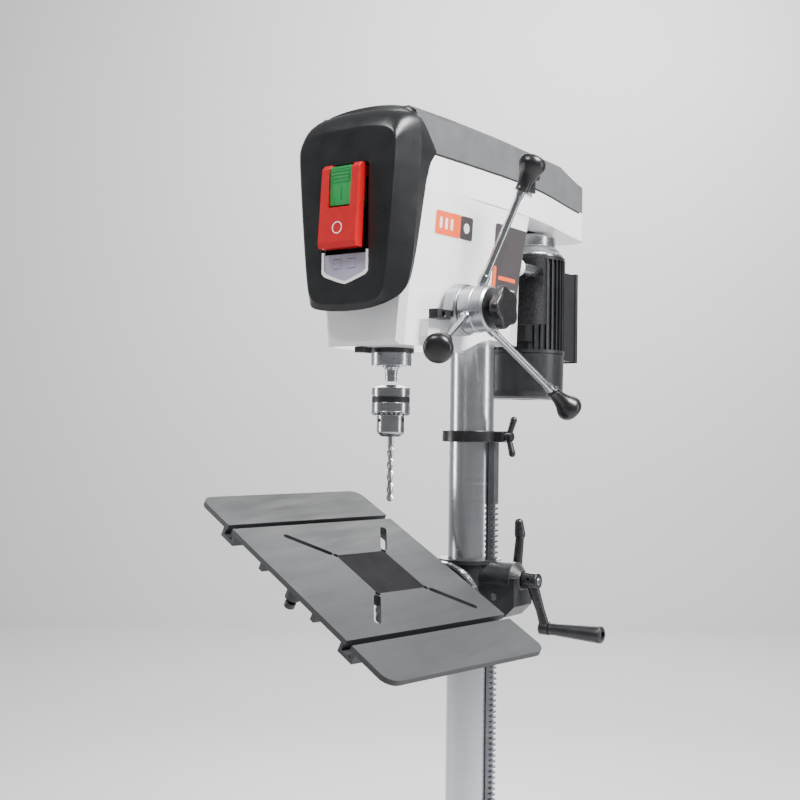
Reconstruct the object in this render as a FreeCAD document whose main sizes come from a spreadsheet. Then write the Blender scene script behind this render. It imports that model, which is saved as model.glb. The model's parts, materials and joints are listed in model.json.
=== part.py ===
import FreeCAD, Part
import math
import os
import Sketcher
from FreeCAD import Placement, Rotation, Vector

# Floor-standing drill press, millimetres. +Z is up, +X is the operator's right-hand side,
# and the front is -Y. The origin lies on the floor plane, on the column's axis.

os.makedirs("parts", exist_ok=True)
doc = FreeCAD.newDocument("drill_press")
sheet = doc.addObject("Spreadsheet::Sheet", "dims")

DIMENSIONS = [
    ("hub_z", 1350, "height of the feed shaft above the floor"),
    ("feed_y", 187, "feed shaft in front of the column axis"),
    ("spindle_y", 227.5, "spindle in front of the column axis"),
    ("column_radius", 36.5, "column outside radius"),
    ("column_bore", 32.5, "column inside radius"),
    ("column_foot_z", 22, "bottom of the column tube"),
    ("column_top_z", 1500, "top of the column tube"),
    ("base_width", 300, "base, left to right"),
    ("base_front", 330, "base in front of the column axis"),
    ("base_rear", 135, "base behind the column axis"),
    ("base_height", 52, "base thickness"),
    ("base_wall", 9, "base wall and top thickness"),
    ("anchor_x", 236, "anchor holes, left to right"),
    ("anchor_y", 400, "anchor holes, front to back"),
    ("anchor_radius", 6, "anchor hole radius"),
    ("flange_size", 150, "column flange side"),
    ("flange_thick", 14, "column flange thickness"),
    ("flange_boss", 47, "column flange boss radius"),
    ("flange_boss_top", 82, "column flange boss above the base"),
    ("collar_z", 1156, "rack collar bottom"),
    ("collar_height", 18, "rack collar height"),
    ("collar_radius", 48, "rack collar outside radius"),
    ("rack_foot_z", 140, "rack bottom"),
    ("rack_blank", 96, "untoothed length at the rack's top"),
    ("rack_module", 2.8, "table rack module"),
    ("rack_back", 36.9, "rack back face from the column axis"),
    ("rack_pitch_x", 45.5, "rack pitch line from the column axis"),
    ("rack_half_width", 7.5, "half the rack's width"),
    ("worm_z", 940, "crank shaft height"),
    ("worm_y", 5, "crank shaft in front of the column axis"),
    ("worm_radius", 7.5, "worm outside radius"),
    ("bracket_top_z", 967, "bracket barrel top"),
    ("bracket_foot_z", 858, "bracket barrel bottom"),
    ("barrel_radius", 47, "bracket barrel outside radius"),
    ("swing", 8.7, "table arm swung towards the left, degrees"),
    ("tilt", 27.9, "table tilted with its right side down, degrees"),
    ("pivot_z", 926, "table tilt axis height"),
    ("arm_reach", 80, "bracket arm face from the column axis"),
    ("table_top", 44, "table surface above the tilt axis"),
    ("table_reach", 247.3, "table centre from the column axis"),
    ("table_half_width", 225.4, "half the table, left to right"),
    ("table_half_depth", 162.2, "half the table, front to back"),
    ("table_plate", 8, "table plate thickness"),
    ("groove_x", 141.6, "T-slot centre from the table centre"),
    ("groove_width", 10.4, "T-slot width"),
    ("insert_side", 99.4, "table insert side"),
    ("head_foot_z", 1294, "head casting underside"),
    ("tray_floor_z", 1518, "belt tray underside"),
    ("seam_z", 1568, "belt tray top edge"),
    ("cover_top_z", 1640, "belt cover crown"),
    ("cover_wall", 3, "belt cover wall"),
    ("casting_wall", 7, "head casting wall"),
    ("bezel_front", 343, "front panel face in front of the column axis"),
    ("bezel_wall", 3.5, "front panel wall"),
    ("quill_radius", 30, "quill radius"),
    ("quill_foot_z", 1268, "quill bottom at the top of its stroke"),
    ("quill_top_z", 1470, "quill top at the top of its stroke"),
    ("quill_stroke", 80, "spindle travel"),
    ("feed_module", 1.5, "feed pinion module"),
    ("feed_teeth", 16, "feed pinion teeth"),
    ("chuck_top_z", 1240, "chuck top"),
    ("chuck_nose_z", 1164, "chuck nose"),
    ("chuck_radius", 28.5, "chuck outside radius"),
    ("bit_radius", 4.75, "drill bit radius"),
    ("bit_tip_z", 1068, "drill bit tip"),
    ("handle_reach", 209, "feed knob centre from the feed shaft"),
    ("handle_knob_x", 187, "feed knob centre to the right"),
    ("handle_angle", 10.67, "first feed handle from vertical, degrees"),
    ("motor_y", 170, "motor axis behind the column axis"),
    ("motor_radius", 71, "motor body radius"),
    ("motor_foot_z", 1230, "motor bottom"),
    ("idler_y", 26, "idler pulley in front of the column axis"),
    ("pulley_z", 1532, "pulley stack bottom"),
    ("step_height", 15, "height of one pulley step"),
    ("hinge_x", 102, "cover hinge axis to the left"),
]

for row, (alias, value, note) in enumerate(DIMENSIONS, start=1):
    sheet.set("A%d" % row, note)
    sheet.set("B%d" % row, str(value))
    sheet.setAlias("B%d" % row, alias)
doc.recompute()

D = {alias: float(value) for alias, value, _ in DIMENSIONS}
ALONG_X = Rotation(Vector(0, 1, 0), 90)
ALONG_Y = Rotation(Vector(1, 0, 0), -90)
UPRIGHT = Rotation()
NODES = []


# ---------------------------------------------------------------- helpers

def value(expression):
    """The number that an expression over the sheet comes to."""
    return float(sheet.evalExpression(expression))


def put(item, x="0", y="0", z="0", turn=UPRIGHT):
    """Place an object, its position bound to the sheet."""
    item.Placement = Placement(Vector(0, 0, 0), turn)
    for axis, expression in zip("xyz", (x, y, z)):
        item.setExpression("Placement.Base." + axis, expression)
    return item


def node(item, label):
    """Keep an object as the sub-part with this label."""
    item.Label = label
    NODES.append(item)
    return item


def rod(name, radius, length, x="0", y="0", z="0", turn=UPRIGHT):
    item = doc.addObject("Part::Cylinder", name)
    item.setExpression("Radius", radius)
    item.setExpression("Height", length)
    return put(item, x, y, z, turn)


def block(name, size, x="0", y="0", z="0", turn=UPRIGHT):
    """A box centred on x and y, standing on z."""
    item = doc.addObject("Part::Box", name)
    for prop, expression in zip(("Length", "Width", "Height"), size):
        item.setExpression(prop, expression)
    corner = turn.multVec(Vector(-value(size[0]) / 2, -value(size[1]) / 2, 0))
    item.Placement = Placement(Vector(0, 0, 0), turn)
    for axis, expression, shift in zip("xyz", (x, y, z), corner):
        item.setExpression("Placement.Base." + axis, "%s + (%.9g)" % (expression, shift))
    return item


def outline(name, corners):
    """A closed sketch in the XZ plane, every corner bound to the sheet."""
    sketch = doc.addObject("Sketcher::SketchObject", name)
    sketch.Placement = Placement(Vector(0, 0, 0), Rotation(Vector(1, 0, 0), 90))
    points = [(value(a), value(b)) for a, b in corners]
    count = len(points)
    for i in range(count):
        start = Vector(points[i][0], points[i][1], 0)
        end = Vector(points[(i + 1) % count][0], points[(i + 1) % count][1], 0)
        sketch.addGeometry(Part.LineSegment(start, end))
    for i in range(count):
        sketch.addConstraint(Sketcher.Constraint("Coincident", i, 2, (i + 1) % count, 1))
    for i, pair in enumerate(corners):
        for kind, side, axis in (("DistanceX", 0, -2), ("DistanceY", 1, -1)):
            number = points[i][side]
            if abs(number) < 1e-9:
                sketch.addConstraint(Sketcher.Constraint("PointOnObject", i, 1, axis))
            else:
                made = sketch.addConstraint(Sketcher.Constraint(kind, -1, 1, i, 1, number))
                sketch.setExpression("Constraints[%d]" % made, pair[side])
    return sketch


def turned(name, corners, x="0", y="0", z="0", turn=UPRIGHT):
    """A lathe part: corners are (radius, height) pairs, turned about its own Z axis."""
    sketch = outline(name + "_profile", corners)
    item = doc.addObject("Part::Revolution", name)
    item.Source = sketch
    item.Axis = Vector(0, 0, 1)
    item.Base = Vector(0, 0, 0)
    item.Angle = 360
    item.Solid = True
    return put(item, x, y, z, turn)


def joined(name, *pieces):
    item = doc.addObject("Part::MultiFuse", name)
    item.Shapes = list(pieces)
    item.Refine = True
    return item


def cut(name, base, *tools):
    tool = tools[0] if len(tools) == 1 else joined(name + "_tools", *tools)
    item = doc.addObject("Part::Cut", name)
    item.Base = base
    item.Tool = tool
    item.Refine = True
    return item


def shaped(name, shape, placement=None):
    """A piece whose form only Part's own functions give."""
    item = doc.addObject("Part::Feature", name)
    item.Shape = shape
    item.Placement = placement or shape.Placement
    return item


def group(name, shapes):
    """Several separate solids that share one node."""
    return shaped(name, Part.makeCompound(shapes))


def cylinder(radius, length, base, along=Vector(0, 0, 1)):
    return Part.makeCylinder(radius, length, Vector(*base), Vector(*along))


def cuboid(low, high):
    size = [b - a for a, b in zip(low, high)]
    return Part.makeBox(size[0], size[1], size[2], Vector(*low))


def face_of(points):
    """A flat face through 3-D points."""
    corners = [Vector(*point) for point in points]
    return Part.Face(Part.makePolygon(corners + corners[:1]))


def capsule(start, end, radius_start, radius_end):
    """A tapered bar with round ends."""
    start, end = Vector(*start), Vector(*end)
    axis = end - start
    if abs(radius_start - radius_end) < 1e-6:
        bar = Part.makeCylinder(radius_start, axis.Length, start, axis)
    else:
        bar = Part.makeCone(radius_start, radius_end, axis.Length, start, axis)
    ends = [Part.makeSphere(radius_start, start), Part.makeSphere(radius_end, end)]
    return bar.multiFuse(ends).removeSplitter()


def gear_face(module, teeth, thinning):
    """An involute gear outline in the XY plane, one tooth centred on +X."""
    pressure = math.radians(20)
    pitch_radius = module * teeth / 2
    base_radius = pitch_radius * math.cos(pressure)
    root = pitch_radius - 1.2 * module
    tip = pitch_radius + 0.95 * module
    flank = [root] + [max(base_radius, root) + (tip - max(base_radius, root)) * i / 5 for i in range(6)]
    at_pitch = math.pi / (2 * teeth) - thinning / (2 * pitch_radius)
    involute = math.tan(pressure) - pressure

    def half_angle(radius):
        if radius <= base_radius:
            return at_pitch + involute
        local = math.acos(base_radius / radius)
        return at_pitch + involute - (math.tan(local) - local)

    points = []
    for tooth in range(teeth):
        centre = 2 * math.pi * tooth / teeth
        for radius in flank:
            angle = centre - half_angle(radius)
            points.append((radius * math.cos(angle), radius * math.sin(angle), 0))
        for radius in reversed(flank):
            angle = centre + half_angle(radius)
            points.append((radius * math.cos(angle), radius * math.sin(angle), 0))
    return face_of(points)


def rack_gaps(module, pitch_height, tip_height, depth, first, last, thinning):
    """Tooth spaces of a rack as (height, along) corners, each space centred on a pitch step."""
    slope = math.tan(math.radians(20))
    pitch = math.pi * module
    spaces = []
    for step in range(first, last + 1):
        middle = step * pitch
        half_pitch_line = pitch / 4 + thinning / 2
        low = pitch_height - depth
        half_low = half_pitch_line - (pitch_height - low) * slope
        half_high = half_pitch_line + (tip_height - pitch_height) * slope
        spaces.append([(low, middle - half_low), (tip_height, middle - half_high),
                       (tip_height, middle + half_high), (low, middle + half_low)])
    return spaces


# ---------------------------------------------------------------- base and column

def make_base():
    half = D["base_width"] / 2
    wall = D["base_wall"]
    front, rear, top = -D["base_front"], D["base_rear"], D["base_height"]
    outer = cuboid((-half, front, 0), (half, rear, top))
    upright = [edge for edge in outer.Edges if abs(edge.BoundBox.ZLength - top) < 1e-6]
    outer = outer.makeFillet(28, upright)
    upper = [edge for edge in outer.Edges if edge.BoundBox.ZMin > top - 1e-6]
    outer = outer.makeFillet(6, upper)
    hollows = []
    columns = [(-half + wall, -wall / 2), (wall / 2, half - wall)]
    rows = [(front + wall, front + 140), (front + 140 + wall, -62)]
    for x_low, x_high in columns:
        for y_low, y_high in rows:
            hollows.append(cuboid((x_low, y_low, -1), (x_high, y_high, top - wall)))
    hollows.append(cuboid((-half + wall, -62 + wall, -1), (-62, rear - wall, top - wall)))
    hollows.append(cuboid((62, -62 + wall, -1), (half - wall, rear - wall, top - wall)))
    shell = outer.cut(hollows)
    middle = (front + rear) / 2
    corners = [(sx * D["anchor_x"] / 2, middle + sy * D["anchor_y"] / 2) for sx in (-1, 1) for sy in (-1, 1)]
    bosses = [cylinder(17, top - 2, (x, y, 0)) for x, y in corners]
    shell = shell.fuse(bosses)
    holes = [cylinder(D["anchor_radius"], top + 2, (x, y, -1)) for x, y in corners]
    slots = []
    for x in (-70, 70):
        ends = [cylinder(6.5, top + 2, (x, y, -1)) for y in (-278, -118)]
        slots += ends + [cuboid((x - 6.5, -278, -1), (x + 6.5, -118, top + 1))]
    bolts = [cylinder(5.5, 40, (x, y, top - 30)) for x in (-55, 55) for y in (-55, 55)]
    foot = cylinder(D["column_radius"] + 0.3, 60, (0, 0, D["column_foot_z"] - 0.2))
    shell = shell.cut(holes + slots + bolts + [foot]).removeSplitter()
    node(shaped("base_casting", shell), "base")


def make_column():
    size, thick = "dims.flange_size", "dims.flange_thick"
    pad = block("flange_pad", (size, size, thick), z="dims.base_height")
    boss = turned("flange_boss", [
        ("dims.column_radius + 0.02", "0"), ("dims.flange_boss + 8", "0"),
        ("dims.flange_boss", "dims.flange_thick + 10"), ("dims.flange_boss", "dims.flange_boss_top - 4"),
        ("dims.flange_boss - 4", "dims.flange_boss_top"),
        ("dims.column_radius + 0.02", "dims.flange_boss_top"),
    ], z="dims.base_height")
    solid = joined("flange_solid", pad, boss)
    bore = rod("flange_bore", "dims.column_radius + 0.02", "120", z="dims.base_height - 1")
    holes = [rod("flange_hole_%d" % i, "5.5", "40", str(x), str(y), "dims.base_height - 1")
             for i, (x, y) in enumerate([(-55, -55), (-55, 55), (55, -55), (55, 55)])]
    node(cut("column_flange", solid, bore, *holes), "column_flange")
    top = D["base_height"] + D["flange_thick"]
    bolts = []
    for x in (-55, 55):
        for y in (-55, 55):
            head = hexagon(9.2, (x, y, top + 2.05)).extrude(Vector(0, 0, 7))
            washer = cylinder(11.5, 2, (x, y, top + 0.05))
            shank = cylinder(5.2, 43, (x, y, top - 41))
            bolts.append(head.multiFuse([washer, shank]).removeSplitter())
    node(group("flange_bolts", bolts), "flange_bolts")
    tube = turned("column_tube", [
        ("dims.column_bore", "0"), ("dims.column_radius - 0.8", "0"), ("dims.column_radius", "0.8"),
        ("dims.column_radius", "dims.column_top_z - dims.column_foot_z"),
        ("dims.column_bore", "dims.column_top_z - dims.column_foot_z"),
    ], z="dims.column_foot_z")
    node(tube, "column")


def hexagon(radius, centre):
    """A flat hexagon, radius measured to its corners."""
    points = [(centre[0] + radius * math.cos(math.pi * i / 3),
               centre[1] + radius * math.sin(math.pi * i / 3), centre[2]) for i in range(6)]
    return face_of(points)


def make_rack():
    pitch = math.pi * D["rack_module"]
    tip = D["rack_pitch_x"] + 0.7 * D["rack_module"]
    half = D["rack_half_width"]
    foot, top = D["rack_foot_z"], D["collar_z"] - 0.3
    bar = cuboid((D["rack_back"], -half, foot), (tip, half, top))
    mesh_z = pinion_z()
    first = -int((mesh_z - foot) / pitch) + 1
    last = int((top - D["rack_blank"] - mesh_z) / pitch)
    cutters = []
    depth = 1.2 * D["rack_module"]
    for space in rack_gaps(D["rack_module"], D["rack_pitch_x"], tip + 1, depth, first, last, 0.3):
        flat = face_of([(x, -half - 1, mesh_z + z) for x, z in space])
        cutters.append(flat.extrude(Vector(0, 2 * half + 2, 0)))
    node(shaped("rack_bar", bar.cut(Part.makeCompound(cutters))), "rack")


def pinion_z():
    """The table pinion hangs under the worm, its teeth just clear of the thread."""
    return D["worm_z"] - D["worm_radius"] - 0.25 - D["rack_module"] * (6 + 0.95)


def make_collar():
    z, height, radius = D["collar_z"], D["collar_height"], D["collar_radius"]
    ring = cylinder(radius, height, (0, 0, z))
    ring = ring.makeFillet(1.2, [e for e in ring.Edges if e.BoundBox.ZLength < 1e-6])
    lug = cuboid((radius - 8, -9, z), (radius + 16, 9, z + height))
    ring = ring.fuse(lug.makeFillet(2.5, lug.Edges))
    bore = cylinder(D["column_radius"] + 0.03, height + 2, (0, 0, z - 1))
    stud = cylinder(4.1, 40, (D["column_radius"] - 2, 0, z + height / 2), (1, 0, 0))
    node(shaped("collar_ring", ring.cut([bore, stud]).removeSplitter()), "rack_collar")
    start = radius + 16.4
    middle = z + height / 2
    stem = cylinder(4.0, 28, (D["column_radius"] + 0.05, 0, middle), (1, 0, 0))
    hub = cylinder(7, 12, (start, 0, middle), (1, 0, 0))
    wings = [capsule((start + 5, 0, middle), (start + 13, 2 * s, middle + 27 * s), 4.2, 5.5) for s in (-1, 1)]
    node(shaped("wing_screw", stem.multiFuse([hub] + wings).removeSplitter()), "collar_wing_screw")


# ---------------------------------------------------------------- table bracket and crank

def make_bracket():
    foot, top = D["bracket_foot_z"], D["bracket_top_z"]
    worm_y, worm_z, pin_z = -D["worm_y"], D["worm_z"], pinion_z()
    pin_x = D["rack_pitch_x"] + 6 * D["rack_module"]
    barrel = cylinder(D["barrel_radius"], top - foot, (0, 0, foot))
    lip = cylinder(D["barrel_radius"] + 4, 6, (0, 0, top - 6))
    housing = cuboid((20, -31, pin_z - 31), (100, 26, worm_z + 4))
    across = [edge for edge in housing.Edges if edge.BoundBox.YLength > 50]
    lower = [edge for edge in across if edge.BoundBox.XMin > 99 and edge.BoundBox.ZMax < pin_z]
    housing = housing.makeChamfer(18, lower)
    worm_boss = cylinder(27, 70, (20, worm_y, worm_z), (1, 0, 0))
    cone = Part.makeCone(27, 14, 12, Vector(90, worm_y, worm_z), Vector(1, 0, 0))
    arm = cylinder(36, D["arm_reach"] - 14, (0, -14, D["pivot_z"]), (0, -1, 0))
    fan_centre = D["pivot_z"] - 54
    fan = cylinder(92, 12, (0, -D["arm_reach"] + 14.5, fan_centre), (0, -1, 0))
    fan = fan.common(cuboid((-78, -90, fan_centre + 30), (78, -50, fan_centre + 95)))
    web = cuboid((-12, -70, foot + 2), (12, -20, D["pivot_z"]))
    arm_side = arm.multiFuse([fan, web])
    arm_side.rotate(Vector(0, 0, 0), Vector(0, 0, 1), -D["swing"])
    ears = cuboid((-18, 30, 884), (18, 72, 948))
    ears = ears.makeFillet(8, [e for e in ears.Edges if e.BoundBox.XLength > 30 and e.BoundBox.YMin > 71])
    solid = barrel.multiFuse([lip, housing, worm_boss, cone, arm_side, ears])
    bore = cylinder(D["column_radius"] + 0.05, 140, (0, 0, foot - 10))
    rack_slot = cuboid((20, -D["rack_half_width"] - 0.4, foot - 1),
                       (D["rack_pitch_x"] + 2.6, D["rack_half_width"] + 0.4, top + 1))
    split = cuboid((-1.5, 30, foot - 1), (1.5, 80, top + 1))
    clamp_hole = cylinder(5.1, 60, (-30, 58, 916), (1, 0, 0))
    gear_room = cylinder(21, 28, (pin_x, -19, pin_z), (0, 1, 0))
    trunnions = cylinder(6.05, 80, (pin_x, -40, pin_z), (0, 1, 0))
    worm_room = cylinder(D["worm_radius"] + 0.6, 42, (44, worm_y, worm_z), (1, 0, 0))
    shaft_hole = cylinder(6.05, 40, (80, worm_y, worm_z), (1, 0, 0))
    pivot_hole = cylinder(8.05, 50, (0, -40, D["pivot_z"]), (0, -1, 0))
    pivot_hole.rotate(Vector(0, 0, 0), Vector(0, 0, 1), -D["swing"])
    tools = [bore, rack_slot, split, clamp_hole, gear_room, trunnions, worm_room, shaft_hole, pivot_hole]
    node(shaped("bracket_casting", solid.cut(tools).removeSplitter()), "table_bracket")

    arc_band = cylinder(94.4, 9.5, (0, -D["arm_reach"] + 13.5, fan_centre), (0, -1, 0))
    arc_band = arc_band.cut(cylinder(92.05, 12, (0, -D["arm_reach"] + 14.5, fan_centre), (0, -1, 0)))
    arc_band = arc_band.common(cuboid((-70, -90, fan_centre + 55), (70, -50, fan_centre + 96)))
    arc_band.rotate(Vector(0, 0, 0), Vector(0, 0, 1), -D["swing"])
    node(shaped("scale_strip", arc_band), "tilt_scale")


def make_table_gear():
    pin_x = D["rack_pitch_x"] + 6 * D["rack_module"]
    flat = gear_face(D["rack_module"], 12, 0.3)
    wheel = flat.extrude(Vector(0, 0, 25)).multiFuse([cylinder(6, 50, (0, 0, -11.5))])
    upright = Placement(Vector(pin_x, -17.5, pinion_z()), Rotation(Vector(0, 0, 1), Vector(0, 1, 0)))
    wheel = wheel.removeSplitter()
    facing = Placement(Vector(), Rotation(Vector(0, 0, 1), 180))
    wheel.Placement = upright.multiply(facing)
    node(shaped("table_pinion", wheel), "table_gear")


def make_crank():
    y, z = -D["worm_y"], D["worm_z"]
    spots = "-dims.worm_y"
    shaft = turned("worm_shaft_blank", [
        ("0", "0"), ("5", "0"), ("6", "1"), ("6", "81.3"), ("5", "82.3"), ("0", "82.3"),
    ], x="48.2", y=spots, z="dims.worm_z", turn=ALONG_X)
    ridges = [rod("worm_thread_%d" % i, "dims.worm_radius", "2.4",
                  str(50 + 5.2 * i), spots, "dims.worm_z", ALONG_X)
              for i in range(6)]
    node(joined("worm_shaft", shaft, *ridges), "table_worm_shaft")

    swing = math.radians(8)
    reach = 74
    low = (136, y + reach * math.sin(swing), z - reach * math.cos(swing))
    hub = cylinder(12.5, 26, (103.2, y, z), (1, 0, 0))
    hub = hub.makeFillet(2, [e for e in hub.Edges if e.BoundBox.XLength < 1e-6])
    knee = (129, y + 0.62 * reach * math.sin(swing), z - 0.62 * reach * math.cos(swing))
    arm = capsule((116, y, z), knee, 9.5, 7).multiFuse([capsule(knee, low, 7, 8)])
    eye = cylinder(10.5, 15, (128, low[1], low[2]), (1, 0, 0))
    arm = hub.multiFuse([arm, eye])
    shaft_seat = cylinder(6.0, 60, (90, y, z), (1, 0, 0))
    stud_seat = cylinder(4.6, 30, (134, low[1], low[2]), (1, 0, 0))
    arm = arm.cut([shaft_seat, stud_seat])
    set_screw = cylinder(3, 12, (116, y - 4, z + 2), (0, -1, 0.2))
    stud = cylinder(4.5, 99.2, (131, low[1], low[2]), (1, 0, 0))
    node(shaped("crank_casting", arm.cut(set_screw).fuse(stud).removeSplitter()), "crank_arm")
    grip = turned("grip_blank", [
        ("4.6", "0"), ("8.6", "0"), ("9.6", "1.2"), ("9.6", "10"), ("13.2", "84"), ("12.8", "88"),
        ("9.8", "90"), ("6", "90.5"), ("6", "84"), ("4.6", "84"),
    ], x="143.6", y="%.6g" % low[1], z="%.6g" % low[2], turn=ALONG_X)
    node(grip, "crank_grip")


def make_clamp_lever():
    y, z = 58, 916
    stud = cylinder(5, 66, (-27, y, z), (1, 0, 0))
    head = hexagon(8.5, (0, 0, 0)).extrude(Vector(0, 0, 6))
    head.Placement = Placement(Vector(-26.5, y, z), Rotation(Vector(0, 0, 1), Vector(1, 0, 0)))
    hub = cylinder(11, 24, (36, y, z), (1, 0, 0))
    arm = capsule((52, y, z + 3), (58, y + 3, z + 88), 8.5, 7)
    tip = capsule((58, y + 3, z + 88), (57, y + 1, z + 108), 9, 7)
    washer = cylinder(12, 2.4, (18.3, y, z), (1, 0, 0))
    spacer = cylinder(9, 16, (20.5, y, z), (1, 0, 0))
    node(shaped("clamp_lever", stud.multiFuse([head, hub, arm, tip, washer, spacer]).removeSplitter()),
         "column_clamp_lever")


# ---------------------------------------------------------------- table

def table_frame():
    """Table axes: X to its right, Y back towards the column, Z its normal; origin on the tilt axis."""
    turn = Rotation(Vector(0, 0, 1), -D["swing"]).multiply(Rotation(Vector(0, 1, 0), D["tilt"]))
    return Placement(Vector(0, 0, D["pivot_z"]), turn)


def slot_shape(start, end, radius, low, high):
    a, b = Vector(start[0], start[1], low), Vector(end[0], end[1], low)
    along = (b - a).normalize()
    side = Vector(-along.y, along.x, 0) * radius
    flat = face_of([tuple(a + side), tuple(b + side), tuple(b - side), tuple(a - side)])
    bar = flat.extrude(Vector(0, 0, high - low))
    ends = [cylinder(radius, high - low, tuple(p)) for p in (a, b)]
    return bar.multiFuse(ends)


def make_table():
    top = D["table_top"]
    low = top - D["table_plate"]
    half_x, half_y = D["table_half_width"], D["table_half_depth"]
    reach = D["table_reach"]
    front_edge, rear_edge = -reach - half_y, -reach + half_y
    plate_solid = cuboid((-half_x, -reach - half_y, low), (half_x, -reach + half_y, top))
    corners = [e for e in plate_solid.Edges if e.BoundBox.ZLength > 1]
    plate_solid = plate_solid.makeFillet(20, corners)
    parts = []
    groove, half_groove = D["groove_x"], D["groove_width"] / 2
    for side in (-1, 1):
        channel = cuboid((side * groove - 15, front_edge + 1, low - 15),
                         (side * groove + 15, rear_edge - 1, low + 1))
        parts.append(channel)
    insert_y = -D["spindle_y"]
    ledge = cuboid((-62, insert_y - 62, low - 8), (62, insert_y + 62, low + 1))
    hub = cylinder(34, 60, (0, -D["arm_reach"] - 0.35, 0), (0, -1, 0))
    spine = cuboid((-9, -D["arm_reach"] - 60, -10), (9, -D["arm_reach"] - 0.35, low + 1))
    ribs = [cuboid((-135, insert_y - 70, low - 14), (135, insert_y - 62, low + 1)),
            cuboid((-135, -D["arm_reach"] - 24, low - 20), (135, -D["arm_reach"] - 16, low + 1)),
            cuboid((-66, -reach - half_y + 6, low - 14), (-58, -D["arm_reach"] - 20, low + 1)),
            cuboid((58, -reach - half_y + 6, low - 14), (66, -D["arm_reach"] - 20, low + 1))]
    knob_boss = cylinder(11, 22, (0, -reach - half_y + 22, low - 21))
    solid = plate_solid.multiFuse(parts + [ledge, hub, spine] + ribs + [knob_boss])
    insert = D["insert_side"] / 2 + 0.15
    pocket = cuboid((-insert, insert_y - insert, low - 2), (insert, insert_y + insert, top + 1))
    reliefs = [cylinder(4.2, 30, (sx * insert, insert_y + sy * insert, low - 2))
               for sx in (-1, 1) for sy in (-1, 1)]
    hole = cylinder(38, 60, (0, insert_y, low - 30))
    tools = [pocket, hole] + reliefs
    for sx in (-1, 1):
        for sy in (-1, 1):
            start = (sx * 57, insert_y + sy * 57)
            end = (sx * 108, insert_y + sy * 101)
            tools.append(slot_shape(start, end, 5.2, low - 30, top + 1))
    for side in (-1, 1):
        mouth = cuboid((side * groove - half_groove, front_edge - 1, low - 2),
                       (side * groove + half_groove, rear_edge + 1, top + 1))
        cross = cuboid((side * groove - 9, front_edge - 1, low - 9),
                       (side * groove + 9, rear_edge + 1, low - 0.5))
        tools += [mouth, cross]
    tools.append(cylinder(8.05, 80, (0, -D["arm_reach"] + 10, 0), (0, -1, 0)))
    tools.append(cylinder(4.05, 43, (0, -reach - half_y + 22, low - 40)))
    node(shaped("table_casting", solid.cut(tools).removeSplitter(), table_frame()), "table")

    side = D["insert_side"] / 2
    base = low - 1.95
    insert_solid = cuboid((-side, insert_y - side, base), (side, insert_y + side, top - 0.1))
    node(shaped("insert_plate", insert_solid, table_frame()), "table_insert")

    knob_y = -reach - half_y + 22
    stem = cylinder(4.0, 24, (0, knob_y, low - 33))
    head = cylinder(8, 10, (0, knob_y, low - 36))
    head = head.makeFillet(2.2, [e for e in head.Edges if e.BoundBox.ZLength < 1e-6])
    node(shaped("table_knob", stem.fuse(head).removeSplitter(), table_frame()), "table_knob")

    bolt = cylinder(8, 82, (0, -D["arm_reach"] + 20, 0), (0, -1, 0))
    nut = hexagon(15, (0, 0, 0)).extrude(Vector(0, 0, 12))
    nut.Placement = Placement(Vector(0, -D["arm_reach"] - 61, 0), Rotation(Vector(0, 0, 1), Vector(0, -1, 0)))
    level = Placement(Vector(0, 0, D["pivot_z"]), Rotation(Vector(0, 0, 1), -D["swing"]))
    node(shaped("pivot_bolt", bolt.fuse(nut).removeSplitter(), level), "table_pivot_bolt")


# ---------------------------------------------------------------- head

SIDE_CURVE = [(-303, 86), (-250, 90), (-190, 93.5), (-111, 96.5), (-51, 97.5), (10, 95.5),
              (60, 91.5), (153, 77), (264, 59)]


def side_curve(inset, start=-303, end=264):
    """The head's right side in plan, pulled inwards by the inset."""
    return [Vector(half - inset, y, 0) for y, half in SIDE_CURVE if start <= y <= end]


def plan_wire(inset, z, start=-303):
    """The belt tray's outline: bowed sides that draw in towards a rounded tail."""
    right = side_curve(inset, start)
    spline = Part.BSplineCurve()
    spline.interpolate(right)
    left = [Vector(-p.x, p.y, 0) for p in reversed(right)]
    spline_left = Part.BSplineCurve()
    spline_left.interpolate(left)
    rear = 302 - inset
    corner_in = Vector(34, rear, 0)
    bend = Vector(50 - inset * 0.7, 291 - inset * 0.8, 0)
    edges = [spline.toShape(),
             Part.Arc(right[-1], bend, corner_in).toShape(),
             Part.makeLine(corner_in, Vector(-corner_in.x, rear, 0)),
             Part.Arc(Vector(-corner_in.x, rear, 0), Vector(-bend.x, bend.y, 0), left[0]).toShape(),
             spline_left.toShape(),
             Part.makeLine(left[-1], right[0])]
    wire = Part.Wire(edges)
    wire.translate(Vector(0, 0, z))
    return wire


def body_wire(inset, z, grow):
    """A level section of the gearcase; grow is 0 at its foot and 1 under the belt tray."""
    foot = [(58, -301), (68, -292), (78, -190), (80, -60), (74, -20), (52, 52)]
    crown = [(80, -301), (88, -292), (93.5, -190), (96.5, -60), (95, 14), (56, 56)]
    right = []
    for (ax, ay), (bx, by) in zip(foot, crown):
        y = ay + (by - ay) * grow
        y += inset if y < -250 else 0
        y -= inset if y > 0 else 0
        right.append(Vector(ax + (bx - ax) * grow - inset, y, z))
    ring = right + [Vector(-p.x, p.y, z) for p in reversed(right)]
    return Part.makePolygon(ring + ring[:1])


def gearcase(inset, low, high):
    foot, crown = D["head_foot_z"], D["tray_floor_z"]
    wires = [body_wire(inset, z, (z - foot) / (crown - foot)) for z in (low, high)]
    return Part.makeLoft(wires, True, True)


def tray(inset, low, high, start=-303):
    return Part.Face(plan_wire(inset, low, start)).extrude(Vector(0, 0, high - low))


def side_prism(points, half=140):
    """A solid right across the head from its (y, z) outline."""
    return face_of([(-half, y, z) for y, z in points]).extrude(Vector(2 * half, 0, 0))


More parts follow.
